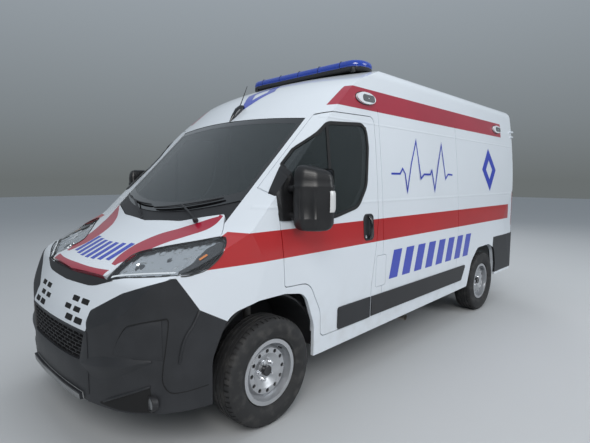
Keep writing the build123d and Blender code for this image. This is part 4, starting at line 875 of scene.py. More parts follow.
class Workpiece:
    """A mesh shaped with Blender's operators, then dressed and put on a body."""

    def __init__(self, name: str) -> None:
        """Name the piece that will be made."""
        self.name = name
        self.object: bpy.types.Object | None = None

    def clear(self) -> None:
        """Leave edit mode and deselect everything."""
        if bpy.context.mode != "OBJECT":
            bpy.ops.object.mode_set(mode="OBJECT")
        bpy.ops.object.select_all(action="DESELECT")

    def take(self) -> Self:
        """Name the new primitive and put its place into its mesh.

        Returns:
            This piece.
        """
        self.object = bpy.context.object
        self.object.name = self.name
        bpy.ops.object.transform_apply(location=True, rotation=True, scale=True)
        return self

    def block(self, low: Point, high: Point) -> Self:
        """Start from a box between two corners.

        Args:
            low: The lowest corner.
            high: The highest corner.

        Returns:
            This piece.
        """
        self.clear()
        middle = [(a + b) / 2 for a, b in zip(low, high)]
        bpy.ops.mesh.primitive_cube_add(size=1, location=middle)
        bpy.context.object.scale = [b - a for a, b in zip(low, high)]
        return self.take()

    def disc(self, middle: Point, normal: Point, radius: float, thickness: float, sides: int = 32) -> Self:
        """Start from a round plate.

        Args:
            middle: Middle of the plate.
            normal: Direction of its axis.
            radius: Its radius.
            thickness: Its thickness.
            sides: Number of its sides.

        Returns:
            This piece.
        """
        self.clear()
        turn = Vector(normal).to_track_quat("Z", "Y").to_euler()
        bpy.ops.mesh.primitive_cylinder_add(vertices=sides, radius=radius, depth=thickness,
                                            location=middle, rotation=turn)
        return self.take()

    def begin(self) -> bmesh.types.BMesh:
        """Name the new primitive and go to edit mode.

        Returns:
            The mesh in edit mode.
        """
        self.object = bpy.context.object
        self.object.name = self.name
        return self.edit()

    def edit(self) -> bmesh.types.BMesh:
        """Go to edit mode with nothing selected and return the mesh.

        Returns:
            The mesh in edit mode.
        """
        bpy.context.view_layer.objects.active = self.object
        bpy.ops.object.mode_set(mode="EDIT")
        bpy.ops.mesh.select_mode(type="VERT")
        bpy.ops.mesh.select_all(action="DESELECT")
        return bmesh.from_edit_mesh(self.object.data)

    def leave(self) -> Self:
        """Go back to object mode."""
        bpy.ops.object.mode_set(mode="OBJECT")
        return self

    def circle(self, places: Sequence[Point], fill: str = "NOTHING") -> None:
        """Start from a circle and move its vertices to places of their own, all of them selected.

        Args:
            places: The vertices' places.
            fill: How the circle is filled.
        """
        self.clear()
        bpy.ops.mesh.primitive_circle_add(vertices=len(places), radius=1, fill_type=fill)
        mesh = self.begin()
        for vertex, place in zip(sorted(mesh.verts, key=lambda v: v.index), places):
            vertex.co = place
            vertex.select = True
        mesh.select_flush(True)
        bmesh.update_edit_mesh(self.object.data)

    def extrude(self, before: Sequence[Point], after: Sequence[Point]) -> None:
        """Extrude the selected vertices and move them to their next places.

        Args:
            before: Their places.
            after: Their next places.
        """
        bpy.ops.mesh.extrude_region_move()
        places = {tuple(round(c, 6) for c in Vector(a)): b for a, b in zip(before, after)}
        mesh = bmesh.from_edit_mesh(self.object.data)
        for vertex in mesh.verts:
            if vertex.select:
                vertex.co = places[tuple(round(c, 6) for c in vertex.co)]
        bmesh.update_edit_mesh(self.object.data)

    def loft(self, rings: Sequence[Sequence[Point]]) -> Self:
        """Start from a closed ring and extrude it through further rings.

        Args:
            rings: Rings of as many points each, in order along the piece.

        Returns:
            This piece.
        """
        self.circle(rings[0], "NGON")
        for before, after in zip(rings, rings[1:]):
            self.extrude(before, after)
        return self.tidy()

    def ribbon(self, rows: Sequence[tuple[Point, Point]], closed: bool = False) -> Self:
        """Start from a strip's first edge and extrude it along the strip.

        Args:
            rows: Pairs of points across the strip.
            closed: Whether the last row meets the first.

        Returns:
            This piece.
        """
        self.clear()
        bpy.ops.mesh.primitive_plane_add(size=1)
        mesh = self.begin()
        corners = [*rows[0], rows[1][1], rows[1][0]]
        mesh.faces.ensure_lookup_table()
        ordered = list(mesh.faces[0].verts)
        for vertex, place in zip(ordered, corners):
            vertex.co = place
        for vertex in ordered[2:]:
            vertex.select = True
        mesh.select_flush(True)
        bmesh.update_edit_mesh(self.object.data)
        for before, after in zip(rows[1:], rows[2:] + ([rows[0]] if closed else [])):
            self.extrude(before, after)
        return self.tidy()

    def tidy(self) -> Self:
        """Merge doubles and turn the faces outwards.

        Returns:
            This piece.
        """
        if bpy.context.mode != "EDIT_MESH":
            self.edit()
        bpy.ops.mesh.select_all(action="SELECT")
        bpy.ops.mesh.remove_doubles(threshold=0.00002)
        bpy.ops.mesh.normals_make_consistent(inside=False)
        return self.leave()

    def spin(self, profile: Sequence[Pair], centre: Point, steps: int) -> Self:
        """Start from a closed profile and spin it about an axis across the vehicle.

        Args:
            profile: Places across the vehicle from the centre, and radii.
            centre: A point on the axis.
            steps: Steps of the full turn.

        Returns:
            This piece.
        """
        self.circle([(centre[0], centre[1] + across, centre[2] + radius) for across, radius in profile])
        bpy.ops.mesh.spin(steps=steps, angle=2 * math.pi, center=centre, axis=(0, 1, 0))
        return self.tidy()

    def pick_faces(self, test: Callable[[Vector, Vector], bool]) -> None:
        """Select the faces whose middle and normal pass a test, in edit mode.

        Args:
            test: Takes a face's middle and normal.
        """
        self.edit()
        bpy.ops.mesh.select_mode(type="FACE")
        mesh = bmesh.from_edit_mesh(self.object.data)
        for face in mesh.faces:
            face.select = test(face.calc_center_median(), face.normal)
        bmesh.update_edit_mesh(self.object.data)

    def stepped(self, way: Vector, steps: Sequence[Pair]) -> Self:
        """Inset the faces that look in a direction, step by step.

        Args:
            way: The direction.
            steps: Pairs of inset and rise.

        Returns:
            This piece.
        """
        self.pick_faces(lambda middle, normal: normal.dot(way) > 0.9)
        for inset, rise in steps:
            bpy.ops.mesh.inset(thickness=inset, depth=rise)
        return self.leave()

    def sheet(self, low: Sequence[Point], high: Sequence[Point], stations: int = 12, cuts: int = 3) -> Self:
        """Start from the sheet between two lines of points, split finely enough to follow a skin.

        Args:
            low: Points along one edge.
            high: Points along the other edge.
            stations: Rows of vertices across the sheet.
            cuts: Cuts made in each of its faces.

        Returns:
            This piece.
        """
        self.ribbon(list(zip(spread(low, stations), spread(high, stations))))
        return self.divide(cuts)

    def divide(self, cuts: int) -> Self:
        """Cut every face into smaller ones.

        Args:
            cuts: Cuts made in each face.

        Returns:
            This piece.
        """
        self.edit()
        bpy.ops.mesh.select_all(action="SELECT")
        bpy.ops.mesh.subdivide(number_cuts=cuts)
        return self.leave()

    def facing(self, direction: Point) -> Self:
        """Turn a sheet's faces towards a direction.

        Args:
            direction: Where they face.

        Returns:
            This piece.
        """
        way = Vector(direction)
        total = sum(face.normal.dot(way) * face.area for face in self.object.data.polygons)
        if total < 0:
            self.edit()
            bpy.ops.mesh.select_all(action="SELECT")
            bpy.ops.mesh.flip_normals()
            self.leave()
        return self

    def lay(self, place: Callable[[Vector], Point]) -> Self:
        """Move every vertex to the place that a function gives for it.

        Args:
            place: Gives a vertex its new place.

        Returns:
            This piece.
        """
        mesh = self.edit()
        for vertex in mesh.verts:
            vertex.co = place(vertex.co)
        bmesh.update_edit_mesh(self.object.data)
        return self.leave()

    def shift(self, way: Point) -> Self:
        """Move the whole piece's mesh."""
        return self.lay(lambda at: at + Vector(way))

    def tube(self, path: Sequence[Point], radius: float, sides: int = 8, flat: float = 1.0,
             up: Point = (0, 0, 1)) -> Self:
        """Start from a round or flattened bar along a path.

        Args:
            path: Points along the bar.
            radius: Its radius.
            sides: Number of its sides.
            flat: Its height as a share of its width.
            up: The direction in which it is flattened.

        Returns:
            This piece.
        """
        points = [Vector(p) for p in path]
        rings = []
        for i, point in enumerate(points):
            way = (points[min(i + 1, len(points) - 1)] - points[max(i - 1, 0)]).normalized()
            across = way.cross(Vector(up)).normalized()
            over = across.cross(way)
            size = radius * (0.6 if i in (0, len(points) - 1) else 1.0)
            rings.append([tuple(point + across * size * math.cos(2 * math.pi * k / sides)
                                + over * size * flat * math.sin(2 * math.pi * k / sides))
                          for k in range(sides)])
        return self.loft(rings)

    def modify(self, kind: str, **settings: object) -> Self:
        """Add a modifier with its settings and apply it.

        Args:
            kind: Blender's name of the modifier.
            settings: Values of its settings.

        Returns:
            This piece.
        """
        if bpy.context.mode != "OBJECT":
            self.leave()
        bpy.context.view_layer.objects.active = self.object
        added = self.object.modifiers.new(kind.lower(), kind)
        for key, value in settings.items():
            setattr(added, key, value)
        bpy.ops.object.modifier_apply(modifier=added.name)
        return self

    def bevel(self, width: float, segments: int = 2, angle: float = 35.0) -> Self:
        """Round the piece's sharp edges."""
        return self.modify("BEVEL", width=width, segments=segments, limit_method="ANGLE",
                           angle_limit=math.radians(angle))

    def wall(self, thickness: float, outwards: float = 1.0) -> Self:
        """Give a sheet its thickness."""
        return self.modify("SOLIDIFY", thickness=thickness, offset=outwards)

    def press_on(self, nodes: str, lift: float, along: "str | Point") -> Self:
        """Lay the piece on the skin of CAD nodes.

        Args:
            nodes: Names of the CAD nodes, with spaces between.
            lift: Distance that is kept from the skin.
            along: The axis letter along which each point goes inwards, or one direction for all of them.

        Returns:
            This piece.
        """
        tree = skin_tree(nodes)
        mesh = self.object.data
        ways = []
        travel: dict[int, float] = {}
        for vertex in mesh.vertices:
            if isinstance(along, str):
                axis = "XYZ".index(along)
                way = Vector((0, 0, 0))
                way[axis] = -math.copysign(1.0, vertex.co[axis])
            else:
                way = Vector(along).normalized()
            ways.append(way)
            hit = tree.ray_cast(vertex.co - way * 4.0, way)[0]
            if hit:
                travel[vertex.index] = (hit - vertex.co).dot(way) - lift
        places = KDTree(len(travel))
        for index in travel:
            places.insert(mesh.vertices[index].co, index)
        places.balance()
        moves = [travel.get(vertex.index, travel[places.find(vertex.co)[1]]) for vertex in mesh.vertices]
        for vertex, way, distance in zip(mesh.vertices, ways, moves):
            vertex.co += way * distance
        return self

    def puff(self, sewn: Callable[[Vector], bool], limit: float = 0.022, cell: float = 0.006) -> Self:
        """Cover a closed shape with cloth, sew it down along its seams and fill it.

        Args:
            sewn: Tells whether a point lies on a seam.
            limit: The furthest that a point may move.
            cell: Size of the cloth's mesh.

        Returns:
            This piece.
        """
        self.clear()
        self.take()
        mesh = self.object.data
        mesh.remesh_voxel_size = cell
        bpy.ops.object.voxel_remesh()
        rest = [vertex.co.copy() for vertex in mesh.vertices]
        pins = self.object.vertex_groups.new(name="seams")
        pins.add([i for i, point in enumerate(rest) if sewn(point)], 1.0, "REPLACE")
        cloth = self.object.modifiers.new("filling", "CLOTH")
        cloth.settings.vertex_group_mass = pins.name
        cloth.settings.use_pressure = True
        cloth.settings.uniform_pressure_force = 4.0
        cloth.settings.effector_weights.gravity = 0.0
        for number in range(1, 21):
            bpy.context.scene.frame_set(number)
        bpy.ops.object.modifier_apply(modifier=cloth.name)
        bpy.context.scene.frame_set(1)
        for vertex, before in zip(self.object.data.vertices, rest):
            move = vertex.co - before
            if move.length > limit:
                vertex.co = before + move.normalized() * limit
        return self.modify("SUBSURF", levels=1, render_levels=1)

    def join(self, others: Iterable["Workpiece"]) -> Self:
        """Join other pieces into this one.

        Args:
            others: The other pieces.

        Returns:
            This piece.
        """
        self.clear()
        for other in others:
            other.object.select_set(True)
        self.object.select_set(True)
        bpy.context.view_layer.objects.active = self.object
        bpy.ops.object.join()
        return self

    def copy(self, name: str, change: Matrix) -> "Workpiece":
        """A copy with its own mesh, moved by a matrix.

        Args:
            name: Name of the copy.
            change: How it is moved.

        Returns:
            The copy.
        """
        twin = Workpiece(name)
        twin.object = self.object.copy()
        twin.object.data = self.object.data.copy()
        twin.object.name = name
        bpy.context.scene.collection.objects.link(twin.object)
        twin.object.data.transform(change)
        if change.determinant() < 0:
            twin.object.data.flip_normals()
        return twin

    def done(self, material: Material, body: str = VEHICLE, smooth: float = 35.0,
             replaced: Sequence[str] = ()) -> Self:
        """Smooth, dress and place the finished piece.

        Args:
            material: Its finish.
            body: The CAD body that it rides on.
            smooth: Angle in degrees up to which its edges are smoothed.
            replaced: CAD nodes that it stands for.

        Returns:
            This piece.
        """
        self.clear()
        self.object.data.materials.clear()
        self.object.data.materials.append(material)
        self.object.select_set(True)
        bpy.context.view_layer.objects.active = self.object
        bpy.ops.object.shade_smooth_by_angle(angle=math.radians(smooth))
        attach(self.object, body)
        if replaced:
            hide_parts(*replaced)
        return self


MIRRORED = Matrix.Scale(-1, 4, (0, 1, 0))


def ahead(metres: float) -> float:
    """X of a place given by its distance ahead of the front axle."""
    return FRONT_X + metres


def placed(table: Sequence[Point]) -> list[Point]:
    """Points given by their distance ahead of the front axle, in the vehicle's frame."""
    return [(ahead(x), left, z) for x, left, z in table]


def ring_of(middle: Point, first: Point, second: Point, outline: Sequence[Pair]) -> list[Point]:
    """A ring of points in a plane, from an outline along two directions."""
    m, u, v = Vector(middle), Vector(first), Vector(second)
    return [tuple(m + u * a + v * b) for a, b in outline]


def oval(width: float, height: float, corner: float, arc_steps: int = 4) -> list[Pair]:
    """A rectangle with rounded corners about the origin."""
    w, h = width / 2, height / 2
    return rounded([(-w, -h, corner), (w, -h, corner), (w, h, corner), (-w, h, corner)], arc_steps)


@dataclass
class Assembly:
    """A sub-assembly: the finishes that it takes and the pieces that it has made."""

    finishes: Finishes
    pieces: list[Workpiece] = field(default_factory=list)

    def add(self, piece: Workpiece, finish: str, body: str = VEHICLE, smooth: float = 35.0,
            replaced: Sequence[str] = ()) -> None:
        """Finish a piece and keep it.

        Args:
            piece: The piece.
            finish: Name of its finish.
            body: The CAD body that it rides on.
            smooth: Angle in degrees up to which its edges are smoothed.
            replaced: CAD nodes that it stands for.
        """
        self.pieces.append(piece.done(getattr(self.finishes, finish), body, smooth, replaced))

    def pair(self, piece: Workpiece, finish: str, body: str = VEHICLE, smooth: float = 35.0,
             replaced: Sequence[str] = ()) -> None:
        """Finish a left-hand piece and its mirror image on the right, and keep both.

        Args:
            piece: The left-hand piece.
            finish: Name of their finish.
            body: The left-hand body.
            smooth: Angle in degrees up to which edges are smoothed.
            replaced: CAD nodes that the left-hand piece stands for.
        """
        twin = piece.copy(piece.name.replace("left", "right"), MIRRORED)
        self.add(piece, finish, body, smooth, replaced)
        others = [name.replace("left", "right").replace("driver", "passenger") for name in replaced]
        self.add(twin, finish, body.replace("left", "right"), smooth, others)


# Wheels


@dataclass
class Wheels(Assembly):
    """The four tyres with their tread, and what is bolted to the rims."""

    radius: float = 0.345
    half_width: float = 0.1075
    steps: int = 180
    front_track: float = 1.81
    rear_track: float = 1.79
    bolt_circle: float = 0.062

    def profile(self) -> list[Pair]:
        """The tyre's closed section: sidewalls, shoulders and four tread grooves.

        Returns:
            Places across the wheel, and radii.
        """
        w = self.half_width
        outer = [(0.0742, 0.1903), (0.0742, 0.2085), (0.0790, 0.2150), (0.0905, 0.2200), (0.0925, 0.2290),
                 (0.1015, 0.2420), (w - 0.0012, 0.2620), (w, 0.2720), (w - 0.0025, 0.2950),
                 (w - 0.0065, 0.3120), (w - 0.0105, 0.3230), (w - 0.0165, 0.3330), (w - 0.0265, 0.3400)]
        tread = []
        for middle in (0.052, 0.018):
            tread += [(middle + 0.0065, 0.3443), (middle + 0.0045, 0.3360), (middle - 0.0045, 0.3360),
                      (middle - 0.0065, 0.3446)]
        right = outer + tread
        left = [(-across, r) for across, r in reversed(right)]
        return right + left

    def tyre(self, name: str, centre: Point) -> Workpiece:
        """One tyre with cross cuts in its shoulders and ribs.

        Args:
            name: Name of the piece.
            centre: Middle of the wheel.

        Returns:
            The tyre.
        """
        piece = Workpiece(name).spin(self.profile(), centre, self.steps)

        def cut(middle: Vector, normal: Vector) -> bool:
            """Whether a face is sunk as a cross cut of the tread."""
            around = math.degrees(math.atan2(middle.z - centre[2], middle.x - centre[0])) % 360
            across = abs(middle.y - centre[1])
            far = math.hypot(middle.x - centre[0], middle.z - centre[2])
            turn = int(around / 2.0 + (0.5 if middle.y > centre[1] else 1.5))
            return turn % 3 == 0 and far > 0.3285 and across > 0.060

        piece.pick_faces(cut)
        bpy.ops.mesh.inset(thickness=0.0012, use_even_offset=False)
        bpy.ops.mesh.extrude_region_shrink_fatten(TRANSFORM_OT_shrink_fatten={"value": -0.006})
        piece.leave()
        return piece

    def hub(self, name: str, centre: Point, side: Side) -> None:
        """Make the centre cap, five bolts and valve of one wheel.

        Args:
            name: Name of the wheel's body.
            centre: The wheel's centre.
            side: Its side.
        """
        face = centre[1] + side.value * 0.031
        y = (0, side.value, 0)
        cap = Workpiece(f"{name}_cap").disc((centre[0], face + side.value * 0.012, centre[2]), y, 0.034,
                                            0.028, 40)
        cap.stepped(Vector(y), ((0.006, 0.004), (0.008, -0.003))).bevel(0.0015, 2)
        self.add(cap, "gloss_black", name)
        x = centre[0] + self.bolt_circle * 0.92
        bolt = Workpiece(f"{name}_bolt_0").disc((x, face + side.value * 0.010, centre[2]), y, 0.0115,
                                                0.022, 6)
        bolt.bevel(0.0015, 2)
        collar = Workpiece(f"{name}_collar").disc((x, face + side.value * 0.001, centre[2]), y, 0.0145,
                                                  0.006, 20)
        bolt.join([collar])
        bolts = [bolt]
        for i in range(1, 5):
            turn = (Matrix.Translation(centre) @ Matrix.Rotation(math.radians(72 * i), 4, "Y")
                    @ Matrix.Translation([-c for c in centre]))
            bolts.append(bolt.copy(f"{name}_bolt_{i}", turn))
        for bolt in bolts:
            self.add(bolt, "bright_metal", name)
        at = (centre[0] - 0.105, centre[1] + side.value * 0.062, centre[2] + 0.125)
        self.add(Workpiece(f"{name}_valve").disc(at, y, 0.0045, 0.034, 12), "black_plastic", name)

    def build(self) -> None:
        """Build all four wheels' pieces."""
        tyre = None
        for end, x, track in (("front", FRONT_X, self.front_track), ("rear", REAR_X, self.rear_track)):
            for side in Side:
                centre = (x, side.value * track / 2, self.radius)
                name = f"{end}_{side.word}"
                if tyre is None:
                    tyre = self.tyre(f"tread_tyre_{name}", centre)
                    made, first = tyre, centre
                else:
                    move = Matrix.Translation([a - b for a, b in zip(centre, first)])
                    made = tyre.copy(f"tread_tyre_{name}", move)
                self.add(made, "tyre_rubber", f"wheel_{name}", 40, [f"tyre_{name}"])
                self.hub(f"wheel_{name}", centre, side)


# Graphics


@dataclass
class Graphics(Assembly):
    """Blue films on the body: slanted bars, the pulse line and plain lozenges."""

    lift: float = 0.0011
    bar_rows: Pair = (0.725, 0.965)
    bars_from: float = -1.32
    bars_to: float = -3.04
    bar_pitch: float = 0.212
    bar_width: float = 0.135
    slant: float = 0.26
    pulse: Pairs = ((-1.36, 1.600), (-1.50, 1.600), (-1.545, 1.645), (-1.585, 1.600), (-1.615, 1.450),
                    (-1.70, 1.690), (-1.805, 1.895), (-1.865, 1.560), (-1.93, 1.600), (-2.05, 1.600),
                    (-2.085, 1.640), (-2.13, 1.450), (-2.22, 1.690), (-2.31, 1.895), (-2.37, 1.560),
                    (-2.43, 1.605), (-2.53, 1.600))
    pulse_half: float = 0.008
    lozenge: Pair = (-3.55, 1.672)
    lozenge_half: Pair = (0.215, 0.250)

    def on_side(self, place_ahead: float, z: float, side: Side) -> Point:
        """A point on the body side's skin."""
        return ahead(place_ahead), side.value * (side_skin(z) + self.lift), z

    def bar(self, name: str, middle: float, side: Side) -> Workpiece:
        """One slanted bar.

        Args:
            name: The piece's name.
            middle: Its foot's distance ahead of the front axle.
            side: The side that it is on.

        Returns:
            The piece.
        """
        low, high = self.bar_rows
        rows = []
        for step in range(6):
            z = low + (high - low) * step / 5
            lean = -self.slant * (z - low)
            rows.append((self.on_side(middle - self.bar_width / 2 + lean, z, side),
                         self.on_side(middle + self.bar_width / 2 + lean, z, side)))
        return Workpiece(name).ribbon(rows)

    def line(self, name: str, side: Side) -> Workpiece:
        """The pulse line as one strip of even width.

        Args:
            name: The piece's name.
            side: The side that it is on.

        Returns:
            The piece.
        """
        points = [Vector(p) for p in self.pulse]
        rows = []
        for i, point in enumerate(points):
            before = (point - points[i - 1]).normalized() if i else (points[1] - point).normalized()
            after = (points[i + 1] - point).normalized() if i + 1 < len(points) else before
            across = Vector((-(before.y + after.y), before.x + after.x)).normalized()
            reach = self.pulse_half / max(0.3, across.dot(Vector((-before.y, before.x))))
            a, b = point + across * reach, point - across * reach
            rows.append((self.on_side(a.x, a.y, side), self.on_side(b.x, b.y, side)))
        return Workpiece(name).ribbon(rows)

    def lozenge_on_side(self, name: str, side: Side) -> Workpiece:
        """A lozenge with an open middle.

        Args:
            name: The piece's name.
            side: The side that it is on.

        Returns:
            The piece.
        """
        w, h = self.lozenge_half
        corners = [(w, 0), (0, h), (-w, 0), (0, -h)]
        rows = []
        for i in range(4):
            a, b = corners[i], corners[(i + 1) % 4]
            for step in range(4):
                t = step / 4
                u, v = a[0] + (b[0] - a[0]) * t, a[1] + (b[1] - a[1]) * t
                rows.append((self.on_side(self.lozenge[0] + u, self.lozenge[1] + v, side),
                             self.on_side(self.lozenge[0] + 0.45 * u, self.lozenge[1] + 0.45 * v, side)))
        return Workpiece(name).ribbon(rows, closed=True)

    def on_top(self, name: str, node: str, corners: Sequence[Pair], inner: float) -> Workpiece:
        """A film laid from above on the bonnet or the roof, from its outline in X and Y.

        Args:
            name: The piece's name.
            node: The CAD node that it lies on.
            corners: Its outline.
            inner: Size of its opening, as a share of the outline's.

        Returns:
            The piece.
        """
        middle = Vector((sum(c[0] for c in corners) / len(corners),
                         sum(c[1] for c in corners) / len(corners)))
        rows = []
        for i, corner in enumerate(corners):
            a, b = Vector(corner), Vector(corners[(i + 1) % len(corners)])
            for step in range(4):
                p = a.lerp(b, step / 4)
                q = middle.lerp(p, inner)
                rows.append(((p.x, p.y, 3.0), (q.x, q.y, 3.0)))
        film = Workpiece(name).ribbon(rows, closed=True)
        return film.divide(4).press_on(node, self.lift, "Z")

    def build(self) -> None:
        """Build all the films."""
        for side in Side:
            count = int((self.bars_from - self.bars_to - self.bar_width) / self.bar_pitch) + 1
            for i in range(count):
                middle = self.bars_from - self.bar_width / 2 - i * self.bar_pitch
                self.add(self.bar(f"blue_bar_{side.word}_{i}", middle, side), "blue_film")
            self.add(self.lozenge_on_side(f"lozenge_{side.word}", side), "blue_film")
        self.add(self.line("pulse_line_left", Side.LEFT), "blue_film")
        roof_x = ahead(-0.82)
        corners = [(roof_x + 0.24, 0), (roof_x, 0.17), (roof_x - 0.24, 0), (roof_x, -0.17)]
        self.add(self.on_top("lozenge_roof", "roof", corners, 0.45), "blue_film")
        for i in range(7):
            y = (i - 3) * 0.085
            front = ahead(0.715 - 0.45 * y * y)
            rear = ahead(0.545 - 0.45 * y * y)
            corners = [(front, y - 0.026), (front, y + 0.026), (rear, y + 0.026), (rear, y - 0.026)]
            film = self.on_top(f"blue_bar_bonnet_{i}", "bonnet", corners, 0.02)
            self.add(film, "blue_film", "bonnet_body")


# Nose


@dataclass
class Nose(Assembly):
    """The intake with its mesh and the painted shade behind it, the slots filled with painted shade, the
    bumper's panels, ledges, fog lamps and lower lip.
    """

    intake: Pairs = ((-0.395, 0.532), (0.395, 0.532), (0.447, 0.700), (-0.447, 0.700))
    surround: Pairs = ((-0.472, 0.350), (0.472, 0.350), (0.472, 0.705), (-0.472, 0.705))
    mesh_rows: int = 8
    cell: float = 0.074
    bar: float = 0.0055
    slots: Pairs = ((0.236, 0.745), (0.354, 0.745), (0.177, 0.795), (0.295, 0.795), (0.236, 0.845),
                    (0.354, 0.845))
    panel_low: Points = ((3.0, 0.672, 0.622), (3.0, 0.885, 0.600))
    panel_high: Points = ((3.0, 0.674, 0.640), (3.0, 0.700, 0.702), (3.0, 0.740, 0.768),
                          (3.0, 0.778, 0.786), (3.0, 0.835, 0.803), (3.0, 0.884, 0.812))
    seam: Points = ((0.845, 0.668, 0.620), (0.829, 0.701, 0.706), (0.807, 0.741, 0.772),
                    (0.782, 0.778, 0.791), (0.733, 0.835, 0.808), (0.680, 0.886, 0.817),
                    (0.652, 0.905, 0.812), (0.656, 0.901, 0.731), (0.669, 0.892, 0.621),
                    (0.678, 0.886, 0.552), (0.680, 0.885, 0.475), (0.650, 0.906, 0.419),
                    (0.591, 0.938, 0.412), (0.528, 0.965, 0.418), (0.458, 0.984, 0.424))
    ridge: Points = ((0.503, 0.973, 0.846), (0.539, 0.961, 0.771), (0.571, 0.948, 0.720),
                     (0.591, 0.939, 0.667), (0.607, 0.930, 0.572))
    ledge_top: Points = ((0.919, 0.386, 0.529), (0.896, 0.495, 0.568), (0.863, 0.617, 0.596),
                         (0.807, 0.741, 0.606), (0.722, 0.848, 0.600))
    ledge_nose: Points = ((0.921, 0.385, 0.510), (0.908, 0.497, 0.522), (0.876, 0.632, 0.540),
                          (0.818, 0.752, 0.566), (0.725, 0.851, 0.592))
    ledge_foot: Points = ((0.918, 0.386, 0.490), (0.894, 0.497, 0.455), (0.859, 0.630, 0.470),
                          (0.803, 0.745, 0.520), (0.718, 0.850, 0.580))
    recess_top: Points = ((3.0, 0.560, 0.330), (3.0, 0.640, 0.362), (3.0, 0.733, 0.404), (3.0, 0.840, 0.452))
    recess_low: Points = ((3.0, 0.566, 0.322), (3.0, 0.655, 0.317), (3.0, 0.730, 0.314), (3.0, 0.852, 0.313))
    fog_at: Point = (0.722, 0.846, 0.366)

    def intake_surround(self) -> Workpiece:
        """The smooth band round the mesh, with the deep bar below it.

        Returns:
            The piece.
        """
        rows = []
        for i, steps in enumerate((18, 6, 18, 6)):
            inner, outer = self.intake, self.surround
            j = (i + 1) % 4
            for step in range(steps):
                t = step / steps
                pair = [tuple(a + (b - a) * t for a, b in zip(ring[i], ring[j])) for ring in (outer, inner)]
                rows.append(tuple((3.0, left, z) for left, z in pair))
        piece = Workpiece("intake_surround").ribbon(rows, closed=True)
        piece.divide(2).lay(lambda at: (nose_skin(at.y, at.z) + 0.003, at.y, at.z))
        return piece.facing((1, 0, 0)).wall(0.016, -1).bevel(0.003, 2)

    def mesh(self) -> Workpiece:
        """The intake's mesh: rows of bars with staggered uprights.

        Returns:
            The piece.
        """
        (_, low), (_, _), (_, high), _ = self.intake
        pitch = (high - low) / self.mesh_rows
        bars = []
        for row in range(self.mesh_rows + 1):
            z = low + pitch * row
            half = lookup(z, ((low, self.intake[1][0]), (high, self.intake[2][0]))) + 0.004
            rings = []
            for step in range(21):
                left = half * (step / 10 - 1)
                x = nose_skin(left, z)
                rings.append([(x - 0.009, left, z - self.bar / 3), (x - 0.009, left, z + self.bar / 3),
                              (x - 0.023, left, z + self.bar / 2), (x - 0.023, left, z - self.bar / 2)])
            bars.append(Workpiece(f"mesh_bar_{row}").loft(rings))
        upright = Workpiece("upright").block((-0.010, -self.bar / 2, 0), (0, self.bar / 2, pitch))
        for row in range(self.mesh_rows):
            z = low + pitch * row
            half = lookup(z, ((low, self.intake[1][0]), (high, self.intake[2][0])))
            count = int(half / self.cell) + 1
            for step in range(-count, count + 1):
                left = (step + 0.5 * (row % 2)) * self.cell
                if abs(left) < half - 0.01:
                    at = Matrix.Translation((nose_skin(left, z) - 0.0105, left, z))
                    bars.append(upright.copy(f"upright_{row}_{step}", at))
        whole = upright.join(bars)
        whole.pick_faces(lambda middle, normal: middle.x < 1)
        bpy.ops.mesh.delete(type="FACE")
        whole.leave()
        whole.object.name = whole.name = "intake_mesh"
        return whole

    def backing(self) -> Workpiece:
        """The matt black sheet behind the mesh: painted shade for the dark depth of the intake.

        Returns:
            The piece.
        """
        low = [(3.0, left, 0.524) for left in (-0.43, 0.43)]
        high = [(3.0, left, 0.704) for left in (-0.455, 0.455)]
        piece = Workpiece("intake_backing").sheet(low, high, 10, 2)
        return piece.lay(lambda at: (nose_skin(at.y, at.z) - 0.0245, at.y, at.z)).facing((1, 0, 0))

    def slot(self, name: str, left: float, z: float) -> Workpiece:
        """One dark slot insert with its rim: painted shade that fills the slot's opening.

        Args:
            name: The piece's name.
            left: Its middle's distance from the vehicle's middle.
            z: Its middle's height.

        Returns:
            The piece.
        """
        outline = oval(0.088, 0.031, 0.007, 3)
        inner = oval(0.070, 0.016, 0.004, 3)
        rows = []
        for (a, b), (c, d) in zip(outline, inner):
            rows.append(((nose_skin(left + a, z + b) + 0.0012, left + a, z + b),
                         (nose_skin(left + c, z + d) - 0.006, left + c, z + d)))
        piece = Workpiece(name).ribbon(rows, closed=True)
        piece.edit()
        bpy.ops.mesh.select_all(action="SELECT")
        bpy.ops.mesh.fill_holes(sides=40)
        return piece.leave().facing((1, 0, 0))

    def fog_lamps(self) -> None:
        """Make both fog lamps' bezels and lenses."""
        at = (ahead(self.fog_at[0]), *self.fog_at[1:])
        normal = (1.0, -0.02, 0.0)
        bezel = Workpiece("fog_bezel_left").disc(at, normal, 0.043, 0.030, 40)
        way = Vector(normal).normalized()
        bezel.stepped(way, ((0.009, 0.004), (0.003, -0.012))).bevel(0.002, 2)
        lens = Workpiece("fog_lens_left").disc(tuple(Vector(at) + way * 0.010), normal, 0.0325, 0.006, 40)
        lens.stepped(way, ((0.008, 0.0025), (0.011, 0.0015)))
        self.pair(bezel, "black_plastic")
        self.pair(lens, "lamp_grey")

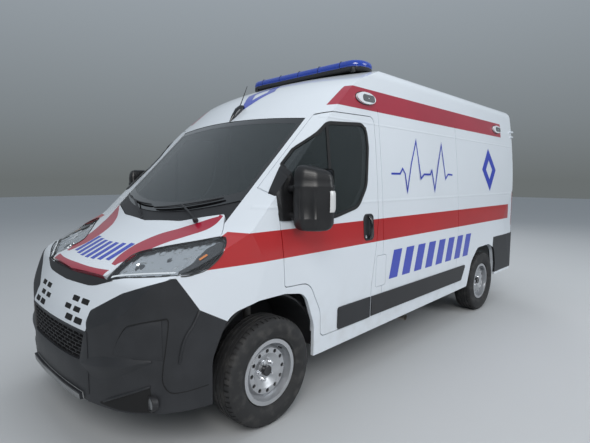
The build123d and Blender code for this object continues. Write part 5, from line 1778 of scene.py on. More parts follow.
    def build(self) -> None:
        """Build the whole nose."""
        self.add(self.intake_surround(), "bumper_plastic")
        self.add(self.mesh(), "black_plastic", smooth=20)
        # painted shade: a matt black sheet behind the intake mesh stands in for the dark depth behind it
        self.add(self.backing(), "matt_black")
        # painted shade: each slot opening is filled by a matt black insert in place of its dark depth
        for i, (left, z) in enumerate(self.slots):
            self.pair(self.slot(f"slot_left_{i}", left, z), "matt_black")
        low = [(3.0, left, lookup(abs(left), ((0.0, 0.920), (0.36, 0.930), (0.53, 0.982)))) for left in
               [0.53 * (k / 8 - 1) for k in range(17)]]
        high = [(3.0, left, lookup(abs(left), ((0.0, 0.974), (0.40, 0.978), (0.53, 0.986))))
                for _, left, _ in low]
        band = Workpiece("bonnet_lip_band").sheet(low, high, 25, 2)
        band.lay(lambda at: (nose_skin(at.y, at.z) + 0.001, at.y, at.z)).facing((1, 0, 1)).wall(0.004, -1)
        self.add(band, "black_plastic")
        lip = Workpiece("lower_lip").sheet([(3.0, -0.412, 0.306), (3.0, 0.412, 0.306)],
                                           [(3.0, -0.412, 0.346), (3.0, 0.412, 0.346)], 19, 2)
        lip.press_on("front_bumper", 0.0006, "X").facing((1, 0, 0)).wall(0.0015).bevel(0.0006, 1)
        self.add(lip, "grey_skid")
        plate = Workpiece("bumper_panel_left").sheet(self.panel_low, self.panel_high, 14, 4)
        plate.press_on("front_bumper", 0.0, "X").facing((1, 0.5, 0)).wall(0.004).bevel(0.0018, 2)
        self.pair(plate, "bumper_plastic")
        seam = Workpiece("bumper_seam_left").tube(smooth_line(placed(self.seam), 60), 0.0026, 6)
        self.pair(seam, "matt_black")
        ridge = Workpiece("bumper_ridge_left").tube(smooth_line(placed(self.ridge), 16), 0.011, 8, 0.7)
        self.pair(ridge, "bumper_plastic")
        tables = (self.ledge_top, self.ledge_nose, self.ledge_foot)
        lines = [smooth_line(placed(table), 24) for table in tables]
        rings = []
        for top, nose, foot in zip(*lines):
            inner = tuple(Vector(top).lerp(Vector(foot), 0.5) - Vector((0.012, 0.006, 0)))
            rings.append([top,
                          tuple(Vector(top).lerp(Vector(nose), 0.85) + Vector((0.0008, 0.0004, 0.001))),
                          nose, tuple(Vector(nose).lerp(Vector(foot), 0.25)), foot, inner])
        ledge = Workpiece("bumper_ledge_left").loft(rings)
        self.pair(ledge, "bumper_plastic", smooth=28)
        # painted shade: a matt black sheet laid on the bumper darkens the fog lamp's recess below its brow
        recess = Workpiece("fog_recess_left").sheet(self.recess_low, self.recess_top, 14, 3)
        recess.press_on("front_bumper", 0.0008, "X").facing((1, 0.5, 0)).wall(0.001)
        self.pair(recess, "matt_black")
        brow_line = placed(((0.868, 0.575, 0.332), (0.850, 0.655, 0.372), (0.808, 0.738, 0.410),
                            (0.728, 0.842, 0.458)))
        brow = Workpiece("fog_brow_left").tube(smooth_line(brow_line, 16), 0.010, 8, 0.8)
        self.pair(brow, "bumper_plastic")
        self.fog_lamps()


# Headlamps


@dataclass
class Headlamps(Assembly):
    """What is seen through the headlamp glass, and the glass's dark edge."""

    edge: Points = ((0.779, 0.475, 0.986), (0.665, 0.431, 1.056), (0.568, 0.424, 1.104),
                    (0.459, 0.577, 1.148), (0.360, 0.739, 1.185), (0.272, 0.866, 1.214),
                    (0.290, 0.930, 1.200), (0.356, 0.994, 1.150), (0.438, 0.985, 1.076),
                    (0.519, 0.964, 1.046), (0.600, 0.924, 1.040), (0.691, 0.739, 1.021),
                    (0.766, 0.532, 0.989))
    normal: Point = (0.50, 0.25, 0.83)
    lamps: tuple[tuple[Point, float], ...] = (((0.640, 0.580, 1.052), 0.050), ((0.525, 0.715, 1.092), 0.046))
    strip: Points = ((0.770, 0.500, 0.998), (0.688, 0.690, 1.029), (0.600, 0.895, 1.052))

    def shrunk(self, share: float, drop: float) -> list[Point]:
        """The lamp's edge drawn towards its middle and sunk below the glass.

        Args:
            share: How far it is drawn, as a share of the way to the middle.
            drop: How deep it is sunk, in metres.

        Returns:
            The drawn edge.
        """
        points = [Vector(place) for place in placed(self.edge)]
        middle = sum(points, Vector()) / len(points)
        way = Vector(self.normal).normalized()
        return [tuple(p.lerp(middle, share) - way * drop) for p in points]

    def build(self) -> None:
        """Build both headlamps."""
        way = Vector(self.normal).normalized()
        rim = self.shrunk(0.0, -0.0005)
        seal = Workpiece("headlamp_seal_left").tube(smooth_line([*rim, rim[0]], 70), 0.0042, 6)
        self.pair(seal, "black_plastic")
        inner = self.shrunk(0.10, 0.012)
        lower = [inner[i] for i in (0, 12, 11, 10, 9, 8)]
        upper = [inner[i] for i in (1, 2, 3, 4, 5, 6)]
        dish = Workpiece("headlamp_reflector_left").sheet(lower, upper, 16, 3)
        dish.press_on("headlamp_glass", 0.0, "Z").shift(tuple(-way * 0.020)).facing(self.normal)
        dish.pick_faces(lambda middle, normal: (int(middle.y / 0.030) + int(middle.x / 0.045)) % 2 == 0)
        bpy.ops.mesh.inset(thickness=0.0025, depth=0.004)
        self.pair(dish.leave(), "lamp_chrome", smooth=12)
        for i, (place, radius) in enumerate(self.lamps):
            at = Vector((ahead(place[0]), *place[1:])) - way * 0.026
            bowl = Workpiece(f"headlamp_bowl_left_{i}").disc(tuple(at), tuple(way), radius, 0.022, 40)
            bowl.stepped(way, ((0.004, 0.003), (0.010, -0.010), (0.004, 0.004))).bevel(0.001, 1)
            self.pair(bowl, "lamp_chrome", smooth=25)
            lens = Workpiece(f"headlamp_lens_left_{i}").disc(
                tuple(at + way * 0.012), tuple(way), radius * 0.62, 0.004, 36)
            lens.stepped(way, ((0.006, 0.0045), (0.008, 0.003), (0.008, 0.0012)))
            self.pair(lens, "dark_lens", smooth=60)
        line = placed(self.strip)
        top = [(x - 0.010, left - 0.002, z + 0.011) for x, left, z in line]
        strip = Workpiece("day_light_left").sheet(line, top, 18, 2)
        strip.press_on("headlamp_glass", 0.0005, "Z").facing(self.normal).wall(0.0015)
        self.pair(strip, "lamp_white")
        low = placed(((0.590, 0.905, 3.0), (0.510, 0.955, 3.0), (0.435, 0.972, 3.0), (0.362, 0.978, 3.0),
                      (0.302, 0.922, 3.0)))
        high = placed(((0.575, 0.885, 3.0), (0.500, 0.902, 3.0), (0.440, 0.880, 3.0), (0.375, 0.860, 3.0),
                       (0.300, 0.890, 3.0)))
        dark = Workpiece("headlamp_end_left").sheet(low, high, 14, 3)
        dark.press_on("headlamp_glass", 0.0, "Z").shift(tuple(-way * 0.011)).facing(self.normal)
        self.pair(dark, "gloss_black")
        low = placed(((0.465, 0.925, 3.0), (0.415, 0.930, 3.0)))
        high = placed(((0.460, 0.905, 3.0), (0.412, 0.908, 3.0)))
        amber = Workpiece("headlamp_marker_left").sheet(low, high, 4, 2)
        amber.press_on("headlamp_glass", 0.0, "Z").shift(tuple(-way * 0.008)).facing(self.normal)
        self.pair(amber, "amber_lens")


# Door mirrors


@dataclass
class Mirrors(Assembly):
    """The two tall mirror heads with their arms, sails, glasses and indicators."""

    plan: Corners = ((-0.298, 1.050, 0.020), (-0.112, 1.050, 0.030), (-0.118, 1.125, 0.080),
                     (-0.175, 1.205, 0.080), (-0.262, 1.256, 0.040), (-0.298, 1.250, 0.012))
    heights: Pairs = ((1.232, 0.45), (1.236, 0.66), (1.248, 0.84), (1.270, 0.94), (1.310, 0.985),
                      (1.400, 1.0), (1.488, 0.985), (1.4955, 1.010), (1.5105, 1.010), (1.516, 0.965),
                      (1.560, 0.955), (1.605, 0.90), (1.635, 0.78), (1.648, 0.58), (1.652, 0.40))
    sail_low: Points = ((0.010, 0.975, 1.300), (-0.100, 0.990, 1.280), (-0.230, 1.000, 1.282),
                        (-0.290, 1.0, 1.285))
    sail_high: Points = ((0.006, 0.968, 1.335), (-0.035, 0.950, 1.480), (-0.150, 0.943, 1.650),
                         (-0.170, 0.943, 1.672))
    sail_way: Point = (-0.42, -0.80, -0.42)

    def ring(self, z: float, share: float, lift: float = 0.0) -> list[Point]:
        """The head's outline at a height.

        Args:
            z: The height.
            share: Its size there, as a share of the plan's.
            lift: How far it stands out, in metres.

        Returns:
            The outline's points.
        """
        outline = rounded(placed(self.plan), 6)
        centre = (ahead(-0.22), 1.148)
        points = []
        for x, left in grown(outline, lift) if lift else outline:
            u, v = centre[0] + (x - centre[0]) * share, centre[1] + (left - centre[1]) * share
            fall = 0.055 * max(0.0, z - 1.52) / 0.13 * (v - 1.05) / 0.2
            points.append((u, v, z - fall))
        return points

    def head(self) -> Workpiece:
        """The left head's shell with its ridge and flutes.

        Returns:
            The piece.
        """
        piece = Workpiece("mirror_head_left").loft([self.ring(z, share) for z, share in self.heights])

        def flute(middle: Vector, normal: Vector) -> bool:
            """Whether a face is sunk as a flute."""
            return 1.31 < middle.z < 1.488 and normal.x > 0.25 and int((middle.y - 1.0) / 0.013) % 3 == 0

        piece.pick_faces(flute)
        bpy.ops.mesh.inset(thickness=0.002, depth=-0.0015)
        return piece.leave()

    def glass(self, name: str, low_z: float, high_z: float) -> None:
        """Make a mirror glass in each head's rear face, with its dark rim.

        Args:
            name: Start of the pieces' names.
            low_z: Height of its lower edge.
            high_z: Height of its upper edge.
        """
        x = ahead(-0.2985)
        outline = [(1.150 + a, (low_z + high_z) / 2 + b) for a, b in oval(0.168, high_z - low_z, 0.022, 5)]
        edges = zip(grown(outline, 0.006), grown(outline, -0.003))
        rim = Workpiece(f"{name}_rim_left").ribbon([((x - 0.002, *a), (x - 0.004, *b)) for a, b in edges],
                                                   closed=True)
        steps = ((0.0, 0.003), (0.0030, 0.003), (0.0034, 0.006))
        rings = [[(x - depth, *p) for p in grown(outline, -inset)] for depth, inset in steps]
        pane = Workpiece(f"{name}_glass_left").loft(rings)
        body = "front_door_left_body"
        self.pair(rim.facing((-1, 0, 0)), "matt_black", body)
        self.pair(pane, "mirror_glass", body)

    def indicator(self) -> Workpiece:
        """The clear lens at the head's outer end.

        Returns:
            The piece.
        """
        rows = []
        for z in [1.350 + 0.130 * k / 8 for k in range(9)]:
            ends = abs(z - 1.415) / 0.065
            lift = 0.003 + 0.006 * math.sqrt(max(0.0, 1 - ends ** 4))
            ring = self.ring(z, 1.0, lift)
            picked = [p for p in ring if p[1] > 1.222 and p[0] < ahead(-0.20)]
            rows.append(spread(sorted(picked, key=lambda p: -p[0]), 9))
        piece = Workpiece("mirror_indicator_left").ribbon(list(zip(rows[0], rows[1])))
        strips = [Workpiece(f"indicator_strip_{k}").ribbon(list(zip(rows[k], rows[k + 1])))
                  for k in range(1, 8)]
        return piece.join(strips).tidy().facing((0.3, 1, 0)).wall(0.004, -1)

    def build(self) -> None:
        """Build both mirrors."""
        body = "front_door_left_body"
        self.pair(self.head(), "mirror_plastic", body, 40, ["mirror_left"])
        for low_z, high_z in ((1.300, 1.345), (1.470, 1.512)):
            middle_z = (low_z + high_z) / 2
            rings = []
            for left, grow in ((0.955, 1.25), (0.990, 1.1), (1.030, 1.0), (1.075, 1.0)):
                outline = oval(0.058 * grow, (high_z - low_z) * grow, 0.018, 4)
                rings.append(ring_of((ahead(-0.158), left, middle_z), (1, 0, 0), (0, 0, 1), outline))
            arm = Workpiece(f"mirror_arm_left_{int(low_z * 1000)}").loft(rings)
            self.pair(arm, "mirror_plastic", body)
        sail = Workpiece("mirror_sail_left").sheet(placed(self.sail_low), placed(self.sail_high), 12, 3)
        sail.press_on("front_door_left front_glass_left", -0.001, self.sail_way)
        sail.facing((0, 1, 0)).wall(0.011).bevel(0.004, 3)
        self.pair(sail, "mirror_plastic", body)
        self.glass("mirror_main", 1.388, 1.610)
        self.glass("mirror_wide", 1.262, 1.372)
        self.pair(self.indicator(), "lamp_clear", body, 50)


# Doors and windows


@dataclass
class DoorTrim(Assembly):
    """Window frames, dividers, handles and rub strips of the side doors."""

    window: Corners = ((-0.130, 1.302, 0.050), (-0.112, 1.500, 0.060), (-0.230, 1.690, 0.120),
                       (-0.560, 1.945, 0.160), (-1.030, 1.975, 0.090), (-1.045, 1.800, 0.150),
                       (-1.000, 1.500, 0.200), (-0.880, 1.345, 0.140), (-0.600, 1.285, 0.300))
    sliding: Corners = ((-1.500, 1.400, 0.090), (-2.280, 1.400, 0.090), (-2.280, 1.890, 0.090),
                        (-1.500, 1.890, 0.090))
    handle: Corners = ((-1.078, 1.082, 0.040), (-0.942, 1.082, 0.040), (-0.937, 1.288, 0.040),
                       (-1.073, 1.288, 0.040))
    strip: Corners = ((-0.6385, 0.4635, 0.020), (-0.6385, 0.6285, 0.020), (-1.0500, 0.6285, 0.004),
                      (-1.0490, 0.4635, 0.004))
    step: float = 0.006

    def frame_on(self, name: str, node: str, outline: Sequence[Corner], edges: Pair,
                 thickness: float, side: Side = Side.LEFT) -> Workpiece:
        """A frame laid on a pane along a window's outline.

        Args:
            name: Name of the piece.
            node: The pane's CAD node.
            outline: The window's corners and radii.
            edges: Distances of the frame's inner and outer edge from the pane's edge.
            thickness: Its thickness.
            side: The side of the vehicle.

        Returns:
            The frame.
        """
        dense = [(ahead(x), 0.0, z) for x, z in rounded(outline, 10)]
        line = [(p[0], p[2]) for p in spread([*dense, dense[0]], 161)[:-1]]
        rows = skin_frame(node, grown(line, -self.step), (edges[0] + self.step, edges[1] + self.step),
                          0.0015, side)
        return Workpiece(name).ribbon(rows, closed=True).facing((0, side.value, 0)).wall(thickness)

    def shell(self, name: str, outline: Sequence[Corner], steps: Sequence[Pair]) -> Workpiece:
        """A closed moulding on the left side.

        Args:
            name: The piece's name.
            outline: Its corners in side view, each with a radius.
            steps: Steps of inset and height above the skin.

        Returns:
            The piece.
        """
        flat = rounded(placed(outline), 6)
        rings = [[(x, side_skin(z) + height, z) for x, z in grown(flat, -inset)] for inset, height in steps]
        return Workpiece(name).loft(rings)

    def build(self) -> None:
        """Build all of the door trim."""
        body = "front_door_left_body"
        seal = self.frame_on("window_seal_left", "front_glass_left", self.window, (-0.019, 0.007), 0.005)
        self.pair(seal.bevel(0.0012, 1), "seal_rubber", body)
        low = placed(((-0.905, 1.6, 1.385), (-0.975, 1.6, 1.460), (-0.998, 1.6, 1.600), (-1.022, 1.6, 1.800),
                      (-1.012, 1.6, 1.950)))
        high = [(x - 0.020, y, z) for x, y, z in low]
        post = Workpiece("window_post_left").sheet(low, high, 20, 1).press_on("front_glass_left", 0.0004, "Y")
        self.pair(post.facing((0, 1, 0)).wall(0.0015), "seal_rubber", body)
        low = placed(((-0.546, 1.6, 1.290), (-0.546, 1.6, 1.933)))
        high = placed(((-0.576, 1.6, 1.288), (-0.576, 1.6, 1.944)))
        bar = Workpiece("window_divider_left").sheet(low, high, 20, 2).press_on("front_glass_left", 0.0, "Y")
        self.pair(bar.facing((0, 1, 0)).wall(0.005).bevel(0.002, 2), "seal_rubber", body)
        cup = self.shell("handle_cup_left", self.handle,
                         ((0.0, 0.0004), (0.001, 0.0035), (0.006, 0.0045), (0.012, 0.001), (0.018, -0.010)))
        self.pair(cup, "black_plastic", body)
        grip_path = []
        for z, out in ((1.098, 0.000), (1.108, 0.014), (1.130, 0.026), (1.185, 0.031), (1.240, 0.026),
                       (1.262, 0.014), (1.272, 0.000)):
            grip_path.append((ahead(-1.016 + 0.02 * (z - 1.1)), side_skin(z) + out - 0.004, z))
        grip = Workpiece("handle_grip_left").tube(smooth_line(grip_path, 22), 0.0155, 12, 0.62, (0, 1, 0))
        self.pair(grip, "gloss_black", body, 60)
        lock_at = (ahead(-0.965), side_skin(1.115) + 0.0045, 1.115)
        lock = Workpiece("door_lock_left").disc(lock_at, (0, 1, 0), 0.0105, 0.006, 24).bevel(0.0015, 2)
        self.pair(lock, "bright_metal", body)
        cover = self.shell("door_strip_left", self.strip,
                           ((0.0, 0.0003), (0.0, 0.0078), (0.0015, 0.0092), (0.012, 0.0095)))
        self.pair(cover, "bumper_plastic", body)
        seal = self.frame_on("sliding_seal_right", "sliding_door_glass", self.sliding, (-0.022, 0.007),
                             0.005, Side.RIGHT)
        self.add(seal, "seal_rubber")
        cup = self.shell("sliding_cup", [(x - 0.32, z, r) for x, z, r in self.handle],
                         ((0.0, 0.0004), (0.001, 0.0035), (0.006, 0.0045), (0.012, 0.001), (0.018, -0.004)))
        grip_path = [(x - 0.32, y, z) for x, y, z in grip_path]
        grip = Workpiece("sliding_grip").tube(smooth_line(grip_path, 22), 0.0155, 12, 0.62, (0, 1, 0))
        for piece, finish in ((cup, "black_plastic"), (grip, "gloss_black")):
            twin = piece.copy(f"{piece.name}_right", MIRRORED)
            bpy.data.objects.remove(piece.object)
            self.add(twin, finish, smooth=50)
        path = [(ahead(x), -side_skin(1.33) - 0.001, 1.33) for x in (-2.62, -3.3, -4.12)]
        self.add(Workpiece("sliding_rail").tube(path, 0.014, 8, 0.35, (0, 1, 0)), "black_plastic")


# Windscreen


@dataclass
class Screen(Assembly):
    """The wipers with their arms."""

    blades: Pairs = ((0.640, -0.010), (-0.080, -0.700))
    pivots: Points = ((0.248, 0.560, 1.292), (0.268, -0.100, 1.262))

    def on_screen(self, left: float, z: float, lift: float) -> Point:
        """A point at a height above the windscreen."""
        return screen_skin(left, z) + 0.7 * lift, left, z + 0.7 * lift

    def blade_z(self, left: float, start: float, end: float) -> float:
        """Height of a parked blade along its length."""
        base = 1.338 + 0.100 * (left / 0.785) ** 2
        return base + 0.018 * (left - end) / (start - end)

    def build(self) -> None:
        """Build both wipers."""
        for i, ((start, end), pivot) in enumerate(zip(self.blades, self.pivots)):
            lefts = [start + (end - start) * k / 14 for k in range(15)]
            rubber = [self.on_screen(y, self.blade_z(y, start, end), 0.005) for y in lefts]
            spine = [self.on_screen(y, self.blade_z(y, start, end),
                                    0.013 + 0.006 * math.sin(math.pi * k / 14)) for k, y in enumerate(lefts)]
            self.add(Workpiece(f"wiper_rubber_{i}").tube(rubber, 0.0032, 6), "tyre_rubber")
            self.add(Workpiece(f"wiper_spine_{i}").tube(spine, 0.0065, 8, 0.7), "black_plastic")
            foot = (ahead(pivot[0]), pivot[1], pivot[2])
            middle = self.on_screen((start + end) / 2, self.blade_z((start + end) / 2, start, end), 0.026)
            knee = tuple(Vector(foot).lerp(Vector(middle), 0.35) + Vector((0.010, 0, 0.016)))
            arm = Workpiece(f"wiper_arm_{i}").tube(smooth_line([foot, knee, middle], 14), 0.0085, 8, 0.6)
            self.add(arm, "black_plastic")
            cap = Workpiece(f"wiper_cap_{i}").disc(foot, (0.5, 0, 1), 0.017, 0.026, 28).bevel(0.004, 3)
            self.add(cap, "black_plastic")


# Roof


@dataclass
class RoofFittings(Assembly):
    """The light bar, the aerial, and the side lamps' rims and lenses."""

    bar_ahead: Pair = (-1.580, -1.280)
    bar_half: float = 0.700
    lamps: Pair = (-1.050, -3.860)
    lamp_z: float = 2.172

    def bar_shell(self, name: str, steps: Sequence[Pair]) -> Workpiece:
        """A closed moulding with round ends along the light bar, from steps of inset and height.

        Args:
            name: The piece's name.
            steps: Pairs of inset and height.

        Returns:
            The piece.
        """
        middle = ahead(sum(self.bar_ahead) / 2)
        deep = self.bar_ahead[1] - self.bar_ahead[0]
        plan = [(middle + a, b) for a, b in oval(deep, 2 * self.bar_half, 0.135, 14)]
        return Workpiece(name).loft([[(x, y, z) for x, y in grown(plan, -inset)] for inset, z in steps])

    def light_bar(self) -> None:
        """Make the lens with its round ends, its seams, and the base and feet below it."""
        lens = self.bar_shell("light_bar_lens", ((0.006, 2.513), (0.001, 2.520), (0.0, 2.532), (0.004, 2.552),
                                                 (0.016, 2.567), (0.040, 2.574), (0.075, 2.576)))
        base = self.bar_shell("light_bar_foot", ((0.050, 2.484), (0.018, 2.488), (0.004, 2.498),
                                                 (0.001, 2.506), (0.006, 2.514)))
        self.add(lens, "blue_lens", smooth=40, replaced=("light_bar",))
        self.add(base, "black_plastic", smooth=40, replaced=("light_bar_base",))
        back, front = (ahead(x) for x in self.bar_ahead)
        for i, left in enumerate((-0.50, -0.25, 0.0, 0.25, 0.50)):
            path = [(back - 0.001, left, 2.516), (back - 0.001, left, 2.534), (back + 0.004, left, 2.553),
                    (back + 0.017, left, 2.568), (back + 0.042, left, 2.575), (front - 0.042, left, 2.575),
                    (front - 0.017, left, 2.568), (front - 0.004, left, 2.553), (front + 0.001, left, 2.534),
                    (front + 0.001, left, 2.516)]
            seam = Workpiece(f"light_bar_seam_{i}").tube(smooth_line(path, 34), 0.0030, 8, 0.6)
            self.add(seam, "dark_blue")
        for side in Side:
            for k, x in enumerate((-1.545, -1.315)):
                at = (ahead(x), side.value * 0.62, 2.488)
                foot = Workpiece(f"light_bar_foot_{side.word}_{k}").disc(at, (0, 0, 1), 0.022, 0.040, 20)
                self.add(foot.bevel(0.004, 2), "black_plastic")

    def aerial(self) -> None:
        """Make the fin-shaped foot, the short mast and its collar."""
        rings = []
        angles = [2 * math.pi * k / 12 for k in range(12)]
        for x, z, half, height in ((-0.468, 2.022, 0.006, 0.004), (-0.500, 2.060, 0.017, 0.016),
                                   (-0.545, 2.106, 0.021, 0.030), (-0.590, 2.144, 0.019, 0.026),
                                   (-0.618, 2.160, 0.010, 0.012)):
            rings.append([(ahead(x) + height * 0.6 * math.sin(a), half * math.cos(a),
                           z + height * math.sin(a)) for a in angles])
        foot = Workpiece("aerial_foot").loft(rings)
        path = placed(((-0.560, 0, 2.128), (-0.578, 0, 2.160), (-0.658, 0, 2.336)))
        mast = Workpiece("aerial_mast").tube(path, 0.0042, 8)
        collar = Workpiece("aerial_collar").tube(placed(((-0.562, 0, 2.130), (-0.590, 0, 2.190))), 0.0062, 10)
        self.add(foot, "gloss_black", smooth=60)
        self.add(mast, "black_plastic")
        self.add(collar, "black_plastic")

    def side_lamps(self, middle: float, name: str) -> None:
        """Make the dark rim and the clear lens of a side lamp on each side.

        Args:
            middle: Its distance ahead of the front axle.
            name: Start of the pieces' names.
        """
        rim_path = []
        for k in range(49):
            angle = 2 * math.pi * k / 48
            z = self.lamp_z + 0.047 * math.sin(angle)
            rim_path.append((ahead(middle + 0.1225 * math.cos(angle)), side_skin(z) + 0.0005, z))
        rim = Workpiece(f"{name}_rim_left").tube(rim_path, 0.0035, 6)
        outline = oval(0.158, 0.054, 0.024, 8)
        line = [(ahead(middle - 0.024 + a), self.lamp_z + b) for a, b in outline]
        rows = [((x, 1.6, z), (ahead(middle - 0.024) + 0.12 * (x - ahead(middle - 0.024)), 1.6,
                               self.lamp_z + 0.12 * (z - self.lamp_z))) for x, z in line]
        lens = Workpiece(f"{name}_lens_left").ribbon(rows, closed=True)
        lens.divide(2).press_on("side_lamps", 0.0, "Y").facing((0, 1, 0)).wall(0.002)
        self.pair(rim, "seal_rubber")
        self.pair(lens, "lamp_grey", smooth=60)

    def build(self) -> None:
        """Build everything on the roof."""
        self.light_bar()
        self.aerial()
        for k, middle in enumerate(self.lamps):
            self.side_lamps(middle, f"side_lamp_{k}")


# Tail


@dataclass
class Tail(Assembly):
    """Lamp lenses, the blank plate with its hood, the handle and the step's ribs at the rear."""

    def panel(self, name: str, low: Sequence[Point], high: Sequence[Point], node: str, thickness: float,
              bevel: float) -> Workpiece:
        """A plate laid on a rear-facing node.

        Args:
            name: The piece's name.
            low: Its lower edge.
            high: Its upper edge.
            node: The CAD node that it lies on.
            thickness: Its thickness.
            bevel: Width of its bevel.

        Returns:
            The piece.
        """
        piece = Workpiece(name).sheet(low, high, 8, 2).press_on(node, 0.0, "X").facing((-1, 0, 0))
        return piece.wall(thickness).bevel(bevel, 2)

    def build(self) -> None:
        """Build the tail's pieces."""
        back = -3.2
        for name, low_z, high_z, finish in (("reverse_lens", 0.972, 1.058, "lamp_grey"),
                                            ("turn_lens", 1.068, 1.165, "amber_lens")):
            low, high = [[(back, 0.928, z), (back, 0.985, z)] for z in (low_z, high_z)]
            self.pair(self.panel(f"{name}_left", low, high, "tail_lamps", 0.003, 0.001), finish)
        for name, y, z, thickness, bevel, finish in (
                ("plate_blank", (0.16, 0.68), (0.745, 0.855), 0.003, 0.001, "lamp_white"),
                ("plate_hood", (0.14, 0.70), (0.872, 0.912), 0.022, 0.006, "black_plastic"),
                ("tail_handle_cup", (0.045, 0.175), (1.150, 1.262), 0.006, 0.002, "black_plastic")):
            low, high = [[(back, left, height) for left in y] for height in z]
            plate = self.panel(name, low, high, "rear_door_left", thickness, bevel)
            self.add(plate, finish, "rear_door_left_body")
        x = REAR_SKIN_X - 0.006
        path = [(x, 0.058, 1.206), (x - 0.022, 0.070, 1.206), (x - 0.026, 0.110, 1.206),
                (x - 0.022, 0.150, 1.206), (x, 0.162, 1.206)]
        grip = Workpiece("tail_handle_grip").tube(smooth_line(path, 20), 0.014, 12, 0.62, (1, 0, 0))
        self.add(grip, "gloss_black", "rear_door_left_body", 60)
        for k in range(9):
            rib = Workpiece(f"step_rib_{k}").tube([(-2.700, -0.60 + 0.15 * k - 0.055, 0.5752),
                                                   (-2.700, -0.60 + 0.15 * k + 0.055, 0.5752)], 0.004, 8, 0.6)
            second = rib.copy(f"step_rib_back_{k}", Matrix.Translation((0.016, 0, 0)))
            self.add(rib.join([second]), "bumper_plastic")


# Cab


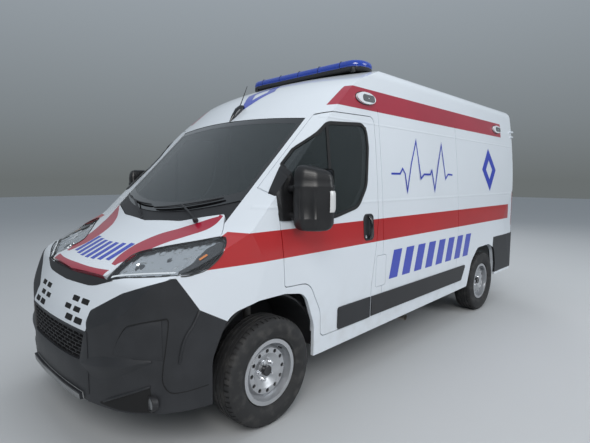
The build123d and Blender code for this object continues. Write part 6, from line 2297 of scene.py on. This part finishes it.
@dataclass
class Cab(Assembly):
    """Padded seats with their headrest posts and plinth covers, and the pads of steering wheel and dashboard.
    """

    middle: float = 0.450
    half: float = 0.222

    def slab(self, spine: Sequence[Station], half: float, crown: float) -> list[list[Point]]:
        """Rings of a crowned pad along its spine.

        Args:
            spine: Ahead, height, thickness and width share of each ring.
            half: Half width of the pad.
            crown: How much thinner the pad's edges are.

        Returns:
            The rings, each in a plane square to the spine.
        """
        places = [Vector((ahead(x), z)) for x, z, _, _ in spine]
        rings = []
        for k, (_, _, thick, share) in enumerate(spine):
            way = (places[min(k + 1, len(places) - 1)] - places[max(k - 1, 0)]).normalized()
            across = Vector((-way.y, way.x))
            ring = []
            for j in range(28):
                angle = 2 * math.pi * j / 28
                c, s = math.cos(angle), math.sin(angle)
                side = math.copysign(abs(c) ** 0.35, c) * half * share
                rise = math.copysign(abs(s) ** 0.45, s) * thick / 2 * (1 - crown * (side / half) ** 2)
                spot = places[k] + across * rise
                ring.append((spot.x, self.middle + side, spot.y))
            rings.append(ring)
        return rings

    def pad(self, name: str, spine: Sequence[Station], half: float, channels: tuple[float, ...],
            welt: float) -> Workpiece:
        """A filled cloth pad with sewn channels across it and a welt line down each side.

        Args:
            name: Name of the piece.
            spine: The pad's rings.
            half: Half width.
            channels: Places of the channels, as shares of the spine's length.
            welt: Distance of the welt lines from the middle.

        Returns:
            The pad.
        """
        first, last = (Vector((ahead(spine[k][0]), 0, spine[k][1])) for k in (0, -1))
        way = last - first

        def sewn(point: Vector) -> bool:
            """Whether a point lies on a channel or a welt line."""
            share = (point - first).dot(way) / way.length_squared
            off = abs(abs(point.y - self.middle) - welt)
            crossing = abs(point.y - self.middle) < welt and any(
                abs(share - c) * way.length < 0.004 for c in channels)
            return off < 0.004 or crossing

        piece = Workpiece(name).loft(self.slab(spine, half, 0.18))
        return piece.puff(sewn)

    def seats(self) -> None:
        """Make both seats: cushion, back, headrest, posts and the plinth's cover."""
        cushion = self.pad("seat_cushion_left", (
            (-1.000, 0.884, 0.060, 0.86), (-0.985, 0.886, 0.092, 0.95), (-0.940, 0.886, 0.104, 1.0),
            (-0.740, 0.890, 0.104, 1.0), (-0.560, 0.902, 0.104, 1.0), (-0.515, 0.900, 0.088, 0.95),
            (-0.502, 0.896, 0.056, 0.86)), self.half - 0.014, (0.3, 0.5, 0.7), 0.145)
        back = self.pad("seat_back_left", (
            (-1.030, 0.925, 0.050, 0.86), (-1.034, 0.940, 0.086, 0.95), (-1.036, 0.985, 0.100, 1.0),
            (-1.052, 1.200, 0.098, 1.0), (-1.074, 1.440, 0.080, 0.97), (-1.080, 1.490, 0.068, 0.90),
            (-1.082, 1.505, 0.044, 0.80)), self.half - 0.014, (0.2, 0.4, 0.6, 0.8), 0.140)
        head = self.pad("headrest_left", ((-1.089, 1.542, 0.040, 0.80), (-1.090, 1.555, 0.060, 0.93),
                                          (-1.091, 1.620, 0.062, 1.0), (-1.092, 1.676, 0.054, 0.93),
                                          (-1.092, 1.690, 0.036, 0.80)), 0.108, (), 0.5)
        rings = [[(ahead(-0.745) + x, self.middle + y, z) for x, y in oval(0.46 * grow, 0.40 * grow, 0.05, 6)]
                 for grow, z in ((1.0, 0.8215), (1.04, 0.830), (1.04, 0.842), (0.98, 0.850))]
        plinth = Workpiece("seat_plinth_left").loft(rings)
        for piece in (cushion, back, head):
            self.pair(piece, "seat_cloth", smooth=75, replaced=("driver_seat",))
        self.pair(plinth, "black_plastic")
        for k, y in enumerate((self.middle - 0.055, self.middle + 0.055)):
            path = placed(((-1.086, y, 1.47), (-1.090, y, 1.58)))
            self.pair(Workpiece(f"headrest_post_{k}_left").tube(path, 0.006, 10), "bright_metal")

    def build(self) -> None:
        """Build everything in the cab."""
        self.seats()
        origin = Vector((FRONT_X - 0.500, self.middle, 1.200))
        out = Vector((-1, 0, 1)).normalized()
        up = Vector((1, 0, 1)).normalized()
        across = Vector((0, 1, 0))
        rings = []
        for grow, height in ((0.9, 0.012), (1.0, 0.020), (0.97, 0.034), (0.85, 0.044), (0.5, 0.049)):
            rings.append([tuple(origin + out * height + up * b * grow + across * a * grow) for a, b in
                          oval(0.150, 0.120, 0.040, 6)])
        pad = Workpiece("steering_wheel_pad").loft(rings)
        self.add(pad, "dash_plastic", smooth=50)
        rings = []
        for k in range(13):
            angle = math.pi * k / 12
            y = self.middle + 0.185 * math.cos(angle)
            z = 1.262 + 0.052 * math.sin(angle)
            rings.append([(ahead(-0.285), y, z), (ahead(-0.270), y, z + 0.010), (ahead(-0.150), y, z + 0.004),
                          (ahead(-0.150), y, z - 0.010), (ahead(-0.270), y, z - 0.004)])
        hood = Workpiece("instrument_hood").loft(rings)
        self.add(hood.bevel(0.003, 2), "dash_plastic")


# Stage


@dataclass
class Stage:
    """Camera, floor, lights and sky."""

    camera_at: Point = (3.542, 2.904, 1.547)
    yaw: float = 223.75
    pitch: float = -5.51
    roll: float = -0.17
    lens: float = 26.41
    floor_half: float = 40.0
    floor_colour: Colour = (0.48, 0.49, 0.50)

    def camera(self) -> None:
        """Put the camera at the photograph's viewing point."""
        data = bpy.data.cameras.new("camera")
        data.lens = self.lens
        data.sensor_width = 36.0
        data.dof.use_dof = False
        data.clip_end = 200.0
        camera = bpy.data.objects.new("camera", data)
        turn = (Matrix.Rotation(math.radians(self.yaw - 90), 4, "Z")
                @ Matrix.Rotation(math.radians(90 + self.pitch), 4, "X")
                @ Matrix.Rotation(math.radians(-self.roll), 4, "Z"))
        camera.matrix_world = Matrix.Translation(self.camera_at) @ turn
        bpy.context.scene.collection.objects.link(camera)
        bpy.context.scene.camera = camera

    def floor(self) -> None:
        """A plain pale floor."""
        bpy.ops.mesh.primitive_plane_add(size=2 * self.floor_half, location=(0, 0, 0))
        floor = bpy.context.object
        floor.name = "ground"
        r = Recipe("ground_finish")
        r.set(Base_Color=r.mix(r.noise(0.6, 3.0), self.floor_colour,
                               tuple(c * 0.96 for c in self.floor_colour)), Roughness=0.85)
        floor.data.materials.append(r.material)

    def lights(self) -> None:
        """Soft studio lamps and a pale sky that brightens upwards."""
        world = bpy.data.worlds.new("studio")
        bpy.context.scene.world = world
        world.use_nodes = True
        tree = world.node_tree
        coords = tree.nodes.new("ShaderNodeTexCoord")
        split = tree.nodes.new("ShaderNodeSeparateXYZ")
        ramp = tree.nodes.new("ShaderNodeValToRGB")
        tree.links.new(coords.outputs["Generated"], split.inputs[0])
        tree.links.new(split.outputs[2], ramp.inputs[0])
        stops = ramp.color_ramp
        stops.elements[0].position = 0.0
        stops.elements[0].color = (0.30, 0.33, 0.33, 1)
        stops.elements[1].position = 0.55
        stops.elements[1].color = (0.80, 0.90, 1.0, 1)
        stop = stops.elements.new(0.12)
        stop.color = (0.42, 0.47, 0.50, 1)
        tree.links.new(ramp.outputs[0], tree.nodes["Background"].inputs[0])
        tree.nodes["Background"].inputs[1].default_value = 0.48
        for name, place, aim, size, power, colour in (
                ("key", (7.5, 7.0, 7.5), (0.0, 0.5, 1.0), 6.0, 620.0, (1.0, 0.98, 0.95)),
                ("side", (-3.5, 9.0, 5.0), (-1.0, 0.8, 1.0), 6.0, 290.0, (0.95, 0.98, 1.0)),
                ("top", (-0.5, 0.0, 9.0), (-0.5, 0.0, 0.0), 8.0, 290.0, (0.95, 0.98, 1.0)),
                ("rear", (-8.0, -5.0, 6.0), (-1.0, 0.0, 1.2), 5.0, 200.0, (1.0, 1.0, 1.0))):
            data = bpy.data.lights.new(name, "AREA")
            data.shape = "DISK"
            data.size = size
            data.energy = power
            data.color = colour
            lamp = bpy.data.objects.new(name, data)
            lamp.location = place
            lamp.rotation_euler = (Vector(aim) - Vector(place)).to_track_quat("-Z", "Y").to_euler()
            lamp.visible_glossy = name not in ("top", "rear")
            bpy.context.scene.collection.objects.link(lamp)

    def build(self) -> None:
        """Set up the whole stage, with colours shown as they are."""
        bpy.context.scene.view_settings.view_transform = "Standard"
        self.camera()
        self.floor()
        self.lights()


def main() -> None:
    """Build the stage, the finishes and the pieces, in order."""
    logging.basicConfig(level=logging.INFO, format="%(name)s: %(message)s")
    Stage().build()
    finishes = Finishes()
    dress_nodes(finishes)
    for assembly in (Wheels(finishes), Graphics(finishes), Nose(finishes), Headlamps(finishes),
                     Mirrors(finishes), DoorTrim(finishes), Screen(finishes), RoofFittings(finishes),
                     Tail(finishes), Cab(finishes)):
        assembly.build()
        LOG.info("%s: %d pieces", type(assembly).__name__, len(assembly.pieces))


if __name__ == "__main__":
    main()
